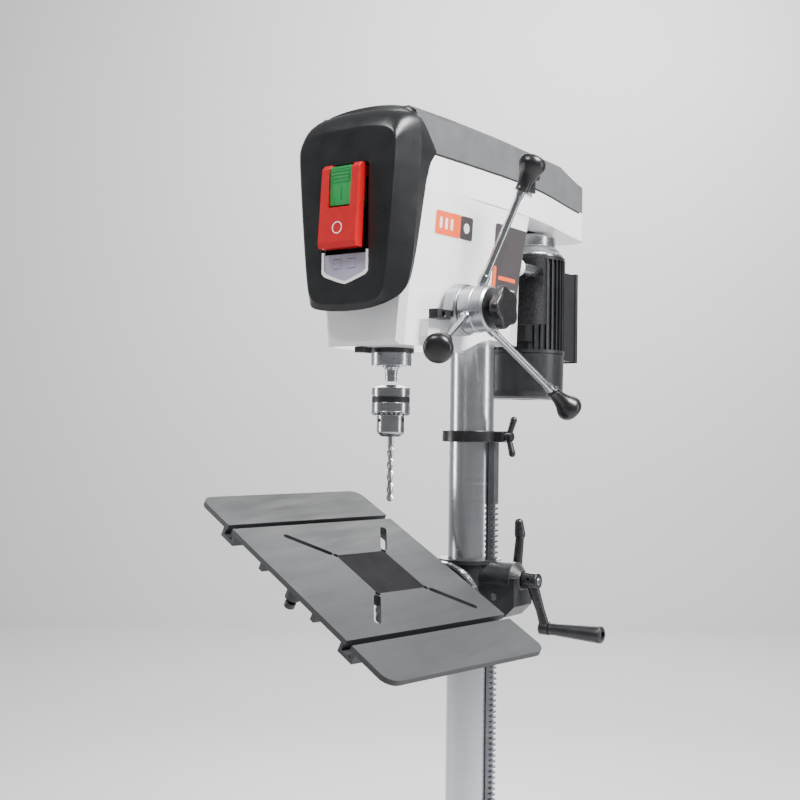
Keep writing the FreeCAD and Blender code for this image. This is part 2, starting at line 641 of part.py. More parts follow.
FRONT_SEAM = [(-254, 1568), (-269, 1551), (-279, 1524), (-290, 1473), (-303, 1408), (-308, 1378),
              (-318, 1361), (-336, 1345)]
COVER_SEAM = [(-300, 1640), (-300, 1623), (-284, 1604), (-254, 1568)]


def make_head():
    foot, floor, seam = D["head_foot_z"], D["tray_floor_z"], D["seam_z"]
    wall = D["casting_wall"]
    spindle, feed, hub = -D["spindle_y"], -D["feed_y"], D["hub_z"]
    gap = 0.4
    behind = [(y + gap, z) for y, z in FRONT_SEAM[:-1]]
    side_view = behind + [(-316, 1344), (-303, 1338), (-303, foot + 8), (-296, foot), (-150, foot),
                          (-112, foot + 14), (-84, foot + 20), (330, foot + 20), (330, seam),
                          (-254 + gap, seam)]
    outer = gearcase(0, foot, floor).fuse(tray(0, floor, seam))
    outer = outer.common(side_prism(side_view))
    under = gearcase(4.5, foot + 46, floor).fuse(tray(4.5, floor, seam - 8))
    under = under.common(cuboid((-100, -290, foot + 46), (100, -240, seam - 8)))
    solid = outer.fuse(under)
    chamber = gearcase(wall + 4.5, foot + 10, floor - wall)
    chamber = chamber.common(cuboid((-100, -283, foot + 28), (100, 100, floor - wall)))
    pan = tray(wall, floor + 8, seam + 5).common(cuboid((-100, -283, floor + 8), (100, 400, seam + 5)))
    pan_front = tray(wall + 4.5, floor + 8, seam + 5)
    pan_front = pan_front.common(cuboid((-100, -283, floor + 8), (100, -240, seam + 5)))
    pan = pan.common(cuboid((-100, -246, floor + 8), (100, 400, seam + 5))).fuse(pan_front)
    solid = solid.cut([chamber, pan])
    sleeve = cylinder(42, floor - foot, (0, spindle, foot))
    socket = cylinder(50, floor - foot - 20, (0, 0, foot + 20))
    web = cuboid((-5, spindle, foot + 4), (5, 0, floor - 2))
    shaft_boss = cylinder(26, 87 + 84, (-84, feed, hub), (1, 0, 0))
    pointer_boss = cuboid((60, -262, hub - 42), (88, -232, hub - 18))
    bar_bosses = [cylinder(15, 62, (x, -34, 1440), (0, 1, 0)) for x in (-66, 66)]
    solid = solid.multiFuse([sleeve, socket, web, shaft_boss, pointer_boss] + bar_bosses)
    quill_bore = cylinder(D["quill_radius"] + 0.05, D["quill_top_z"] + 8 - foot + 1, (0, spindle, foot - 1))
    sleeve_bore = cylinder(20, 60, (0, spindle, D["quill_top_z"]))
    column_bore = cylinder(D["column_radius"] + 0.02, D["column_top_z"] + 0.5 - foot, (0, 0, foot))
    shaft_bore = cylinder(14.5, 140, (-70, feed, hub), (1, 0, 0))
    journals = cylinder(9.05, 220, (-110, feed, hub), (1, 0, 0))
    bar_bores = [cylinder(10.05, 120, (x, -50, 1440), (0, 1, 0)) for x in (-66, 66)]
    motor_hole = cuboid((-30, D["motor_y"] - 42, floor - 1), (30, D["motor_y"] + 30, floor + 9))
    lever_hole = cylinder(6.05, 40, (-110, -14, 1440), (1, 0, 0))
    gland_hole = cylinder(8.05, 30, (-60, 30, 1400), (0, 1, 0))
    bores = [quill_bore, sleeve_bore, column_bore, shaft_bore, journals] + bar_bores
    solid = solid.cut(bores + [motor_hole, lever_hole, gland_hole])
    post = cylinder(8, 62, (0, -D["idler_y"], floor + 4))
    lugs = [cuboid((-D["hinge_x"] - 5, y - 9, seam - 16), (-88, y + 9, seam - 1)) for y in (-150, 10)]
    lug_eyes = [cylinder(5, 18, (-D["hinge_x"], y - 9, seam), (0, 1, 0)) for y in (-150, 10)]
    solid = solid.multiFuse([post] + lugs + lug_eyes)
    lug_holes = [cylinder(2.6, 20, (-D["hinge_x"], y - 10, seam), (0, 1, 0)) for y in (-150, 10)]
    keep = solid.cut(lug_holes).removeSplitter()
    largest = max(keep.Solids, key=lambda piece: piece.Volume)
    node(shaped("head_body", largest), "head_casting")


def bezel_form(inset, open_back):
    """The front panel's outside form, or its hollow when inset."""
    front = -D["bezel_front"] + inset
    half, face = 98 - inset, 80 - inset * 0.6
    back = -240 + open_back
    plan = [(-half + 3, back), (-half, -315 + inset), (-half, front + 15), (-face, front), (face, front),
            (half, front + 15), (half, -315 + inset), (half - 3, back)]
    solid = face_of([(x, y, 1330) for x, y in plan]).extrude(Vector(0, 0, 310))
    low, high = 1341 + inset, 1614 - inset
    shape_front = [(-66, low), (66, low), (half - 6, low + 24), (half, low + 54), (half, high - 62),
                   (half - 4, high - 32), (half - 16, high - 6), (56, high + 9), (0, high + 14),
                   (-56, high + 9),
                   (-half + 16, high - 6), (-half + 4, high - 32), (-half, high - 62), (-half, low + 54),
                   (-half + 6, low + 24)]
    view = face_of([(x, -400, z) for x, z in shape_front]).extrude(Vector(0, 200, 0))
    slope = [(front, low + 8), (front, high - 26), (front + 6, high - 12), (front + 20, high - 1),
             (front + 43 + open_back, high + 14)]
    if open_back:
        tail = [(-200, high + 14), (-200, low)]
        profile = slope + tail + [(front + 8, low)]
    else:
        seam = [(-300, 1622), (-284, 1604)] + FRONT_SEAM
        profile = slope[:-1] + [(-302, 1626)] + [(y - 0.2, z) for y, z in seam] + [(front + 3, 1342)]
    return solid.common([view]).common(side_prism(profile))


def window_prism(clearance, front, rear):
    """The panel window, a rectangle with a shallow V at its foot."""
    side, low, high = 41 - clearance, 1377 + clearance, 1546 - clearance
    outline_points = [(-side, low + 14), (0, low), (side, low + 14), (side, high), (-side, high)]
    return face_of([(x, front, z) for x, z in outline_points]).extrude(Vector(0, rear - front, 0))


def make_front():
    front = -D["bezel_front"]
    bezel = bezel_form(0, 0).cut(bezel_form(D["bezel_wall"], 60))
    bezel = bezel.cut(window_prism(0, front - 5, front + 6))
    bezel = max(bezel.removeSplitter().Solids, key=lambda piece: piece.Volume)
    node(shaped("bezel_shell", bezel), "front_bezel")

    box = window_prism(0.4, front + 4, -301.4)
    box = box.cut([cuboid((-37, front + 2, 1418), (37, -304, 1542)),
                   cuboid((-21.2, front + 2, 1398.8), (-6.8, -304, 1413.2)),
                   cuboid((3.8, front + 2, 1398.8), (18.2, -304, 1413.2)),
                   cylinder(1.6, 17.4, (-22.7, front + 6.5, 1406), (1, 0, 0)),
                   cylinder(1.6, 17.4, (2.3, front + 6.5, 1406), (1, 0, 0))])
    pivots = [cylinder(3, 12, (x, front + 16, 1537), (1, 0, 0)) for x in (-38, 26)]
    node(shaped("switch_box", box.multiFuse(pivots).removeSplitter()), "switch_housing")

    side, low, high = 33, 1426, 1547
    profile = [(front - 18, low), (front - 20, low + 8), (front - 12, high - 8), (front - 6, high - 2),
               (front + 3, high - 2), (front + 3, high - 6), (front + 20, high - 6), (front + 20, high - 16),
               (front + 2, high - 22),
               (front - 3, low + 10), (front - 3, low)]
    paddle = face_of([(-side, y, z) for y, z in profile]).extrude(Vector(2 * side, 0, 0))
    notch = cuboid((-19.6, front - 40, 1483), (19.6, front + 30, high + 5))
    eye = cylinder(3.3, 90, (-45, front + 16, 1537), (1, 0, 0))
    paddle = paddle.cut([notch, eye])
    paddle = max(paddle.removeSplitter().Solids, key=lambda piece: piece.Volume)
    node(shaped("stop_flap", paddle), "stop_paddle")

    button = cuboid((-18.5, front - 11, 1486), (18.5, front + 26, 1541))
    ribs = [cuboid((-14, front - 12.2, 1534 - 5 * i), (14, front - 10.5, 1536.4 - 5 * i)) for i in range(3)]
    node(shaped("green_button", button.multiFuse(ribs).removeSplitter()), "start_button")
    for label, x in (("left_rocker", -14), ("right_rocker", 11)):
        section = [(front + 1, 1399.6), (front + 1, 1412.4), (front + 6, 1412.4), (front + 13, 1410),
                   (front + 13, 1402), (front + 6, 1399.6)]
        rocker = face_of([(x - 6.8, y, z) for y, z in section]).extrude(Vector(13.6, 0, 0))
        rocker = rocker.fuse(cylinder(1.5, 17, (x - 8.5, front + 6.5, 1406), (1, 0, 0))).removeSplitter()
        node(shaped(label + "_cap", rocker), label)
    node(block("lamp_body", ("14", "24", "8.7"), "-14", "-279", "1285"), "work_light")


def make_cover():
    seam, top, wall = D["seam_z"] + 0.4, D["cover_top_z"], D["cover_wall"]

    def form(inset, low):
        side = [(-400, low), (330, low), (330, 1608 - inset), (302 - inset, 1612 - inset),
                (150, 1628 - inset),
                (-20, top - inset), (-180, top - 2 - inset), (-302, 1628 - inset), (-400, 1610 - inset)]
        view = [(-110, low), (-110, 1612 - inset), (-84 + inset, 1622 - inset), (-60 + inset, top - inset),
                (60 - inset, top - inset), (84 - inset, 1622 - inset), (110, 1612 - inset), (110, low)]
        hull = tray(inset, low, top + 5)
        across = face_of([(x, -420, z) for x, z in view]).extrude(Vector(0, 800, 0))
        return hull.common(side_prism(side)).common(across)

    behind = [(y + 0.4, z) for y, z in COVER_SEAM]
    region = side_prism([(-299.6, 1660)] + behind + [(-253.6, 1560), (330, 1560), (330, 1660)])
    shell = form(0, seam).cut(form(wall, seam - 5)).common(region)
    knuckles = []
    for y in (-150, 10):
        for shift in (-14.4, 9.4):
            barrel = cylinder(5, 5, (-D["hinge_x"], y + shift, D["seam_z"]), (0, 1, 0))
            tab = cuboid((-D["hinge_x"] - 2, y + shift, D["seam_z"] + 1),
                         (-88, y + shift + 5, D["seam_z"] + 9))
            knuckles += [barrel, tab]
        knuckles.append(cylinder(2.5, 28.8, (-D["hinge_x"], y - 14.4, D["seam_z"]), (0, 1, 0)))
    inside = form(wall, seam - 5)
    solid = shell.multiFuse([piece.cut(inside) for piece in knuckles])
    keeper = cuboid((90, -8, 1574), (96, 22, 1590))
    solid = solid.fuse(keeper).removeSplitter()
    solid = solid.cut(cylinder(3.05, 30, (80, 7, 1582), (1, 0, 0)))
    solid = max(solid.Solids, key=lambda piece: piece.Volume)
    node(shaped("cover_shell", solid), "belt_cover")
    stem = cylinder(3, 16, (86, 7, 1582), (1, 0, 0))
    plate_piece = cuboid((97.6, -9, 1556), (101, 23, 1588))
    knob = cylinder(9, 12, (101, 7, 1582), (1, 0, 0))
    node(shaped("latch_knob", stem.multiFuse([plate_piece, knob]).removeSplitter()), "cover_latch")


# ---------------------------------------------------------------- belt drive and motor

def stepped(name, label, radii, bore, x, y, z, hub_radius, extra):
    """A V-belt step pulley, bottom step first."""
    corners = [(str(bore), "0"), (str(radii[0]), "0")]
    for level, radius in enumerate(radii):
        base = "%d * dims.step_height" % level
        corners += [("%g" % radius, base + " + 1.5"), ("%g" % (radius - 7), base + " + 5.5"),
                    ("%g" % (radius - 7), base + " + 9.5"), ("%g" % radius, base + " + 13.5")]
        if level + 1 < len(radii) and radii[level + 1] > radius:
            corners += [("%g" % radius, base + " + 14.2"), ("%g" % radii[level + 1], base + " + 14.2")]
        else:
            corners += [("%g" % radius, base + " + 15")]
            if level + 1 < len(radii):
                corners += [("%g" % radii[level + 1], base + " + 15")]
    end = "%d * dims.step_height" % len(radii)
    rim = end + " + %g" % extra
    corners += [("%g" % hub_radius, end), ("%g" % hub_radius, rim), (str(bore), rim)]
    node(turned(name, corners, x, y, z), label)


SPINDLE_STEPS = [25, 32, 38, 44]
IDLER_STEPS = [46, 40, 33, 26]
MOTOR_STEPS = [22, 28, 34, 40]


def belt(near, far, level):
    """A V-belt round two grooves on one level: (y, radius) of each pulley."""
    z = D["pulley_z"] + level * D["step_height"]
    loops = []
    for grow in (-5.0, 1.4):
        (ya, ra), (yb, rb) = [(y, r + grow) for y, r in (near, far)]
        reach = yb - ya
        lean = math.asin((ra - rb) / reach)
        c, s = math.cos(lean), math.sin(lean)
        a_right, b_right = Vector(ra * c, ya + ra * s, z), Vector(rb * c, yb + rb * s, z)
        a_left, b_left = Vector(-ra * c, ya + ra * s, z), Vector(-rb * c, yb + rb * s, z)
        loops.append(Part.Wire([
            Part.makeLine(a_right, b_right),
            Part.Arc(b_right, Vector(0, yb + rb, z), b_left).toShape(),
            Part.makeLine(b_left, a_left),
            Part.Arc(a_left, Vector(0, ya - ra, z), a_right).toShape()]))
    inner, outer = [Part.Face(loop).extrude(Vector(0, 0, 4.6)) for loop in loops]
    band = outer.cut(inner)
    band.translate(Vector(0, 0, 5.2))
    return band


def make_pulleys():
    spindle_y, idler_y = "-dims.spindle_y", "-dims.idler_y"
    stepped("spindle_cone", "spindle_pulley", SPINDLE_STEPS, 13.2, "0", spindle_y, "dims.pulley_z", 20, 4)
    stepped("idler_cone", "idler_pulley", IDLER_STEPS, 8.05, "0", idler_y, "dims.pulley_z", 14, 3)
    stepped("motor_cone", "motor_pulley", MOTOR_STEPS, 8.02, "0", "dims.motor_y", "dims.pulley_z", 14, 3)
    spindle = belt((-D["spindle_y"], SPINDLE_STEPS[1]), (-D["idler_y"], IDLER_STEPS[1]), 1)
    motor = belt((-D["idler_y"], IDLER_STEPS[2]), (D["motor_y"], MOTOR_STEPS[2]), 2)
    node(group("belts", [spindle, motor]), "drive_belts")


def make_motor():
    foot, y = D["motor_foot_z"], D["motor_y"]
    radius = D["motor_radius"]
    body_foot, body_top = foot + 78, foot + 245
    core = cylinder(radius - 4, body_top - body_foot, (0, y, body_foot))
    fins = []
    for i in range(40):
        fin = cuboid((radius - 8, -1.4, body_foot + 6), (radius, 1.4, body_top - 6))
        fin.rotate(Vector(0, 0, 0), Vector(0, 0, 1), 9 * i)
        fin.translate(Vector(0, y, 0))
        fins.append(fin)
    rings = [cylinder(radius, 6, (0, y, z)) for z in (body_foot, body_top - 6)]
    pad = cuboid((-45, y - radius - 4.5, body_foot + 18), (45, y - radius + 22, body_top - 18))
    box_pad = cuboid((-38, y + radius - 26, body_foot + 4), (38, y + radius - 9, body_top - 12))
    body = core.multiFuse(fins + rings + [pad, box_pad])
    body = body.cut([cylinder(radius - 10, body_top - body_foot - 24, (0, y, body_foot + 12)),
                     cylinder(8.3, 400, (0, y, foot))]).removeSplitter()
    node(shaped("motor_shell", body), "motor_body")
    node(turned("end_bell", [
        ("8.3", "0"), ("dims.motor_radius - 3", "0"), ("dims.motor_radius - 3", "4"),
        ("62", "10"), ("60", "14"),
        ("57", "16.5"), ("54", "18.6"), ("54", "36"), ("51", "39"), ("8.3", "39")],
        y="dims.motor_y", z="dims.motor_foot_z + 245.1"), "motor_end_bell")
    node(turned("cowl", [
        ("20", "0"), ("60", "0"), ("66", "4"), ("dims.motor_radius - 2", "14"),
        ("dims.motor_radius - 1", "77.9"), ("dims.motor_radius - 4", "77.9"),
        ("dims.motor_radius - 5", "15"), ("63", "6.6"), ("59", "3"), ("20", "3")],
        y="dims.motor_y", z="dims.motor_foot_z"), "fan_cowl")
    shaft = cylinder(8, 1600 - foot - 30, (0, y, foot + 30))
    blades = []
    for i in range(8):
        blade = cuboid((10, -1, foot + 34), (52, 1, foot + 58))
        blade.rotate(Vector(0, 0, 0), Vector(0, 0, 1), 45 * i)
        blade.translate(Vector(0, y, 0))
        blades.append(blade)
    disc = cylinder(54, 3, (0, y, foot + 58))
    rotor = cylinder(radius - 16, 110, (0, y, body_foot + 26))
    node(shaped("rotor", shaft.multiFuse(blades + [disc, rotor]).removeSplitter()), "motor_rotor")
    box = cuboid((-45, y + 62.1, body_foot - 8), (45, y + 108, body_top - 18))
    box = box.makeFillet(4, [e for e in box.Edges if e.BoundBox.ZLength > 50])
    lid = cuboid((-48, y + 106, body_foot - 10), (48, y + 115, body_top - 16))
    lid = lid.makeFillet(3, [e for e in lid.Edges if e.BoundBox.ZLength > 50])
    box = box.fuse(lid).cut(cylinder(radius + 0.4, 300, (0, y, foot)))
    node(shaped("starter_box", box.removeSplitter()), "capacitor_box")
    steel = cuboid((-84, 85, 1352), (84, y - radius - 4.6, 1466))
    steel = steel.cut([cylinder(9.0, 40, (x, 60, 1440), (0, 1, 0)) for x in (-66, 66)])
    node(shaped("hanger_plate", steel), "motor_plate")
    bars = []
    for x in (-66, 66):
        bar = cylinder(10, 112, (x, -28, 1440), (0, 1, 0))
        spigot = cylinder(8.9, 9, (x, 84, 1440), (0, 1, 0))
        bars.append(bar.fuse(spigot))
    node(group("bars", bars), "slide_bars")
    stub = cylinder(6, 26, (-104, -14, 1440), (1, 0, 0))
    boss = cylinder(12, 10, (-112, -14, 1440), (1, 0, 0))
    arm = capsule((-108, -14, 1440), (-112, 8, 1372), 7, 5.5)
    ball = Part.makeSphere(11, Vector(-112, 8, 1372))
    node(shaped("lever", stub.multiFuse([boss, arm, ball]).removeSplitter()), "tension_lever")
    node(rod("inlet_gland", "8", "20", "-60", "36", "1400", ALONG_Y), "cable_gland")


# ---------------------------------------------------------------- quill, spindle and chuck

def make_quill():
    radius, foot, top = D["quill_radius"], D["quill_foot_z"], D["quill_top_z"]
    y = -D["spindle_y"]
    module = D["feed_module"]
    pinion_radius = module * D["feed_teeth"] / 2
    pitch_height = D["spindle_y"] - D["feed_y"] - pinion_radius
    body = cylinder(radius, top - foot, (0, y, foot))
    lower = [e for e in body.Edges if e.BoundBox.ZMax < foot + 1]
    body = body.makeChamfer(1.2, lower)
    pitch = math.pi * module
    last = int((D["quill_stroke"] + 18) / pitch)
    cutters = []
    for space in rack_gaps(module, pitch_height, radius + 2, 1.2 * module, -3, last, 0.25):
        flat = face_of([(-16, y + height, D["hub_z"] + z) for height, z in space])
        cutters.append(flat.extrude(Vector(32, 0, 0)))
    bore = cylinder(14, top - foot + 2, (0, y, foot - 1))
    seats = [cylinder(23.5, 15, (0, y, foot - 0.5)), cylinder(23.5, 15, (0, y, top - 14.5))]
    body = body.cut([Part.makeCompound(cutters)]).cut([bore] + seats)
    node(shaped("quill_sleeve", body), "quill")
    bearings = []
    for z in (foot + 0.6, top - 14.4):
        ring = cylinder(23.45, 13.8, (0, y, z)).cut(cylinder(12.55, 16, (0, y, z - 1)))
        bearings.append(ring)
    node(group("bearings", bearings), "quill_bearings")
    node(turned("seal_ring", [("dims.quill_radius + 0.3", "0"), ("33.6", "0"), ("33.6", "6.9"),
                              ("dims.quill_radius + 0.3", "6.9")],
                y="-dims.spindle_y", z="dims.head_foot_z - 7"), "quill_seal")
    node(turned("spindle_shaft", [
        ("0", "-24"), ("8.9", "-22.5"), ("8.9", "-12"), ("9.6", "-11.5"), ("9.6", "-6"), ("12.5", "-2"),
        ("12.5", "206"), ("11", "207"), ("11", "320"), ("10", "321"), ("0", "321")],
        y="-dims.spindle_y", z="dims.quill_foot_z"), "spindle")


def make_chuck():
    y = -D["spindle_y"]
    top, nose, radius = D["chuck_top_z"], D["chuck_nose_z"], D["chuck_radius"]
    grip, lean = D["bit_radius"], 15
    body = turned_shape([(0, top), (13, top), (14, top - 0.5), (radius - 0.6, top - 4), (radius, top - 5.5),
                         (radius, top - 15.6), (20.4, top - 15.6), (20.4, nose + 8), (19.4, nose + 4.5),
                         (14, nose), (0, nose)], y)
    socket = cylinder(9.0, 9, (0, y, top - 7.9))
    throat = cylinder(8.6, 62, (0, y, nose - 1))
    jaw_holes, jaws = [], []
    for i in range(3):
        turn = 120 * i + 30
        jaw_holes.append(jaw_bar(4.6, nose - 6, 52, lean, grip, turn, y))
        bar = jaw_bar(4.45, nose + 1.2, 31, lean, grip, turn, y)
        wedge = wedge_shape(turn, nose - 20, nose + 80, y)
        bar = bar.common(wedge).cut(cylinder(grip + 0.03, 120, (0, y, nose - 30)))
        bar = bar.common(cuboid((-60, y - 60, nose + 1.2), (60, y + 60, nose + 80)))
        jaws.append(max(bar.Solids, key=lambda piece: piece.Volume))
    key_holes = [cylinder(3.2, 30, (8 * math.cos(a), y + 8 * math.sin(a), nose + 24),
                          (math.cos(a), math.sin(a), 0))
                 for a in [math.radians(k) for k in (-110, 10, 130)]]
    body = body.cut([socket, throat] + jaw_holes + key_holes)
    body = max(body.removeSplitter().Solids, key=lambda piece: piece.Volume)
    node(shaped("chuck_shell", body), "chuck_body")
    sleeve = turned_shape([(20.6, nose + 31), (26, nose + 31), (29, nose + 34), (29, nose + 36.5),
                           (radius, nose + 37), (radius, nose + 49.5), (radius - 0.7, nose + 50),
                           (radius - 0.7, nose + 60), (22.5, nose + 60), (22.5, nose + 57), (26, nose + 55),
                           (26, nose + 37.5), (20.6, nose + 32.3)], y)
    teeth = []
    for i in range(24):
        tooth = face_of([(20, -2.2, nose + 30), (20, 2.2, nose + 30),
                         (20, 0.9, nose + 35.4), (20, -0.9, nose + 35.4)])
        tooth = tooth.extrude(Vector(12, 0, 0))
        tooth.rotate(Vector(0, 0, 0), Vector(0, 0, 1), 15 * i)
        tooth.translate(Vector(0, y, 0))
        teeth.append(tooth)
    tooth_band = turned_shape([(25.2, nose + 28), (31, nose + 28), (31, nose + 36), (25.2, nose + 36)], y)
    space = Part.makeCompound(teeth).common(tooth_band)
    sleeve = sleeve.cut(space)
    sleeve = max(sleeve.removeSplitter().Solids, key=lambda piece: piece.Volume)
    node(shaped("sleeve_ring", sleeve), "chuck_sleeve")
    for i, jaw in enumerate(jaws, start=1):
        node(shaped("jaw_%d" % i, jaw), "chuck_jaw_%d" % i)
    node(shaped("twist_drill", drill_bit(y)), "drill_bit")


def turned_shape(corners, y):
    """A lathe solid about the vertical line x = 0 at this y."""
    flat = face_of([(r, y, z) for r, z in corners])
    return flat.revolve(Vector(0, y, 0), Vector(0, 0, 1), 360)


def jaw_bar(radius, low, length, lean, grip, turn, y):
    """A jaw's round bar, leaning away from the spindle axis as it rises."""
    slope = math.radians(lean)
    nose = D["chuck_nose_z"]
    offset = grip + 2.4 + (low - nose) * math.tan(slope)
    bar = cylinder(radius, length, (offset, 0, low), (math.sin(slope), 0, math.cos(slope)))
    bar.rotate(Vector(0, 0, 0), Vector(0, 0, 1), turn)
    bar.translate(Vector(0, y, 0))
    return bar


def wedge_shape(turn, low, high, y):
    flat = face_of([(0.06, 0, low), (40, -40 * math.tan(math.radians(60)) + 0.1, low),
                    (40, 40 * math.tan(math.radians(60)) - 0.1, low)])
    solid = flat.extrude(Vector(0, 0, high - low))
    solid.rotate(Vector(0, 0, 0), Vector(0, 0, 1), turn)
    solid.translate(Vector(0, y, 0))
    return solid


def drill_bit(y):
    """A twist drill: a round shank and a fluted body made of turned slices."""
    radius, tip, nose = D["bit_radius"], D["bit_tip_z"], D["chuck_nose_z"]
    shank = cylinder(radius - 0.02, 34, (0, y, nose - 6))
    blank = turned_shape([(0, tip), (radius, tip + 2.9), (radius, nose - 6), (0, nose - 6)], y)
    return blank.fuse(shank).removeSplitter()


# ---------------------------------------------------------------- quill feed

def make_feed():
    y, z = -D["feed_y"], D["hub_z"]
    flat = gear_face(D["feed_module"], int(D["feed_teeth"]), 0.25)
    wheel = flat.extrude(Vector(0, 0, 36))
    shaft = wheel.multiFuse([cylinder(9, 246, (0, 0, -86)), cylinder(4, 270, (0, 0, -100))])
    shaft = shaft.removeSplitter()
    shaft.Placement = aligned_pinion()
    node(shaped("pinion_shaft", shaft), "feed_shaft")
    node(turned("depth_dial", [
        ("9.3", "0"), ("36", "0"), ("38", "1.2"), ("38", "17"), ("36.5", "20.5"), ("9.3", "20.5")],
        x="87.4", y="-dims.feed_y", z="dims.hub_z", turn=ALONG_X), "depth_ring")
    hub = turned_shape_x([(9.02, 108.2), (33, 108.2), (34, 109), (34, 127), (33, 128), (33, 146), (30, 148.5),
                          (13, 148.5), (9.02, 148.5)], y, z)
    sockets, rods, ferrules, knobs = [], [], [], []
    for i in range(3):
        angle = math.radians(D["handle_angle"] + 120 * i)
        radial = Vector(0, math.sin(angle), math.cos(angle))
        root = Vector(122, y, z) + radial * 27
        tip = Vector(D["handle_knob_x"], y, z) + radial * D["handle_reach"]
        axis = (tip - root).normalize()
        sockets.append(Part.makeCylinder(6.05, 30, root - axis * 6, axis))
        bar = Part.makeCylinder(6, 20, root - axis * 5.8, axis)
        collar = Part.makeCylinder(8.2, 12, root + axis * 13, axis)
        stem = Part.makeCylinder(5.5, (tip - root).Length - 28, root + axis * 8, axis)
        rods.append(bar.multiFuse([collar, stem]).removeSplitter())
        knobs.append(knob_shape(tip, axis))
    node(shaped("hub_casting", hub.cut(sockets).removeSplitter()), "feed_hub")
    node(group("handle_bars", rods), "feed_handles")
    node(group("knobs", knobs), "handle_knobs")
    lobes = []
    core = turned_shape_x([(0, 176), (26, 176), (29, 172), (29, 160), (13, 158), (13, 149), (0, 149)], y, z)
    for i in range(5):
        angle = math.radians(72 * i + 20)
        lobes.append(cylinder(7, 40, (150, y + 33 * math.sin(angle), z + 33 * math.cos(angle)), (1, 0, 0)))
    hollow = cylinder(9.3, 14, (148, y, z), (1, 0, 0))
    thread = cylinder(4.3, 20, (148, y, z), (1, 0, 0))
    core = core.cut(lobes + [hollow, thread])
    node(shaped("lobed_knob", core.removeSplitter()), "hub_knob")
    block_piece = cuboid((88.2, y - 76, z - 18), (104, y - 41, z - 4))
    block_piece = block_piece.cut(cylinder(4.2, 30, (84, y - 60, z - 11), (1, 0, 0)))
    node(shaped("pointer_block", block_piece), "depth_pointer")
    node(turned("spring_can", [
        ("10", "0"), ("31", "0"), ("33", "2"), ("33", "22"), ("30", "22"), ("30", "3"), ("10", "3")],
        x="-109", y="-dims.feed_y", z="dims.hub_z", turn=ALONG_X), "spring_cap")
    node(shaped("clock_spring", spiral_spring(y, z)), "return_spring")


def aligned_pinion():
    """The feed pinion lies along X with one tooth pointing forwards into the quill."""
    matrix = FreeCAD.Matrix(0, 0, 1, -18,
                            -1, 0, 0, -D["feed_y"],
                            0, -1, 0, D["hub_z"],
                            0, 0, 0, 1)
    return Placement(matrix)


def turned_shape_x(corners, y, z):
    """A lathe solid about the feed shaft from (radius, x) corners."""
    flat = face_of([(x, y, z + r) for r, x in corners])
    return flat.revolve(Vector(0, y, z), Vector(1, 0, 0), 360)


def knob_shape(centre, axis):
    """A pear-shaped grip knob on the end of its bar."""
    profile = [(0, 20), (9, 18.4), (16, 12.5), (20, 2), (19, -6),
               (14.5, -16), (10, -26), (9.2, -33), (0, -33)]
    flat = face_of([(r, 0, h) for r, h in profile])
    solid = flat.revolve(Vector(0, 0, 0), Vector(0, 0, 1), 360)
    solid = solid.cut(Part.makeCylinder(5.6, 20, Vector(0, 0, -34)))
    solid.Placement = Placement(centre, Rotation(Vector(0, 0, 1), axis))
    return solid


def spiral_spring(y, z):
    """Flat clock spring: a thin spiral strip inside its can."""
    inner, outer, turns, count = 12, 28, 4, 96
    ring = []
    for side in (-0.4, 0.4):
        line = []
        for i in range(count + 1):
            part = i / count
            radius = inner + (outer - inner) * part + side
            angle = 2 * math.pi * turns * part
            line.append((-105, y + radius * math.cos(angle), z + radius * math.sin(angle)))
        ring.append(line)
    points = ring[0] + list(reversed(ring[1]))
    return face_of(points).extrude(Vector(16, 0, 0))


# ---------------------------------------------------------------- assembly and export

for make in (make_base, make_column, make_rack, make_collar, make_bracket, make_table_gear, make_crank,
             make_clamp_lever, make_table, make_head, make_front, make_cover, make_pulleys, make_motor,
             make_quill, make_chuck, make_feed):
    make()
doc.recompute()

problems = []
for item in doc.Objects:
    if "Invalid" in item.State or "Error" in item.State:
        problems.append("%s is %s" % (item.Name, item.State))
for item in NODES:
    if item.Shape.isNull() or not item.Shape.isValid():
        problems.append("%s has a bad shape" % item.Label)
if problems:
    raise SystemExit("\n".join(problems))
if len(NODES) > 60:
    raise SystemExit("%d nodes" % len(NODES))

for item in NODES:
    item.Shape.exportStep("parts/%s.step" % item.Label)
print(len(NODES), "sub-parts written")
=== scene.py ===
import json
import math
import bmesh
import bpy
from mathutils import Matrix, Vector
from mathutils.bvhtree import BVHTree


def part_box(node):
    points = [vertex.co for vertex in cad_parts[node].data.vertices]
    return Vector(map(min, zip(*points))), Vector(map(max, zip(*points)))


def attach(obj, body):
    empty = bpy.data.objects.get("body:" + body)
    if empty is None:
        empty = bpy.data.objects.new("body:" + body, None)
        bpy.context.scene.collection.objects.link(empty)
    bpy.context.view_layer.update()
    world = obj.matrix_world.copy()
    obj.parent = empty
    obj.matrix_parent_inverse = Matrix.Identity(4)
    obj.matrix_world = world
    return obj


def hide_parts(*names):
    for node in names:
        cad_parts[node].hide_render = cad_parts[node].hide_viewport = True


# Drill press, metres. Same frame as the CAD: floor at z = 0, +X the feed-handle side, -Y the front.

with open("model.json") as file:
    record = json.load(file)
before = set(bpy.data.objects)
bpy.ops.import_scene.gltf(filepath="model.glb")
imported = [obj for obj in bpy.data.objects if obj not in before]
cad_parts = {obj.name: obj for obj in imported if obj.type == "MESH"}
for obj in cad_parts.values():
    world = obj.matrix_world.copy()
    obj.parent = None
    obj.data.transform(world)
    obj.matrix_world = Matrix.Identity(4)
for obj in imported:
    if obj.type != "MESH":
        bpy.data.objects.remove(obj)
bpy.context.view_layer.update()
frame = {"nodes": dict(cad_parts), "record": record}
NODES = frame["nodes"]
JOINTS = {joint["name"]: joint for joint in frame["record"]["behaviour"]["joints"]}
SCENE = bpy.context.scene


# ---------------------------------------------------------------- materials

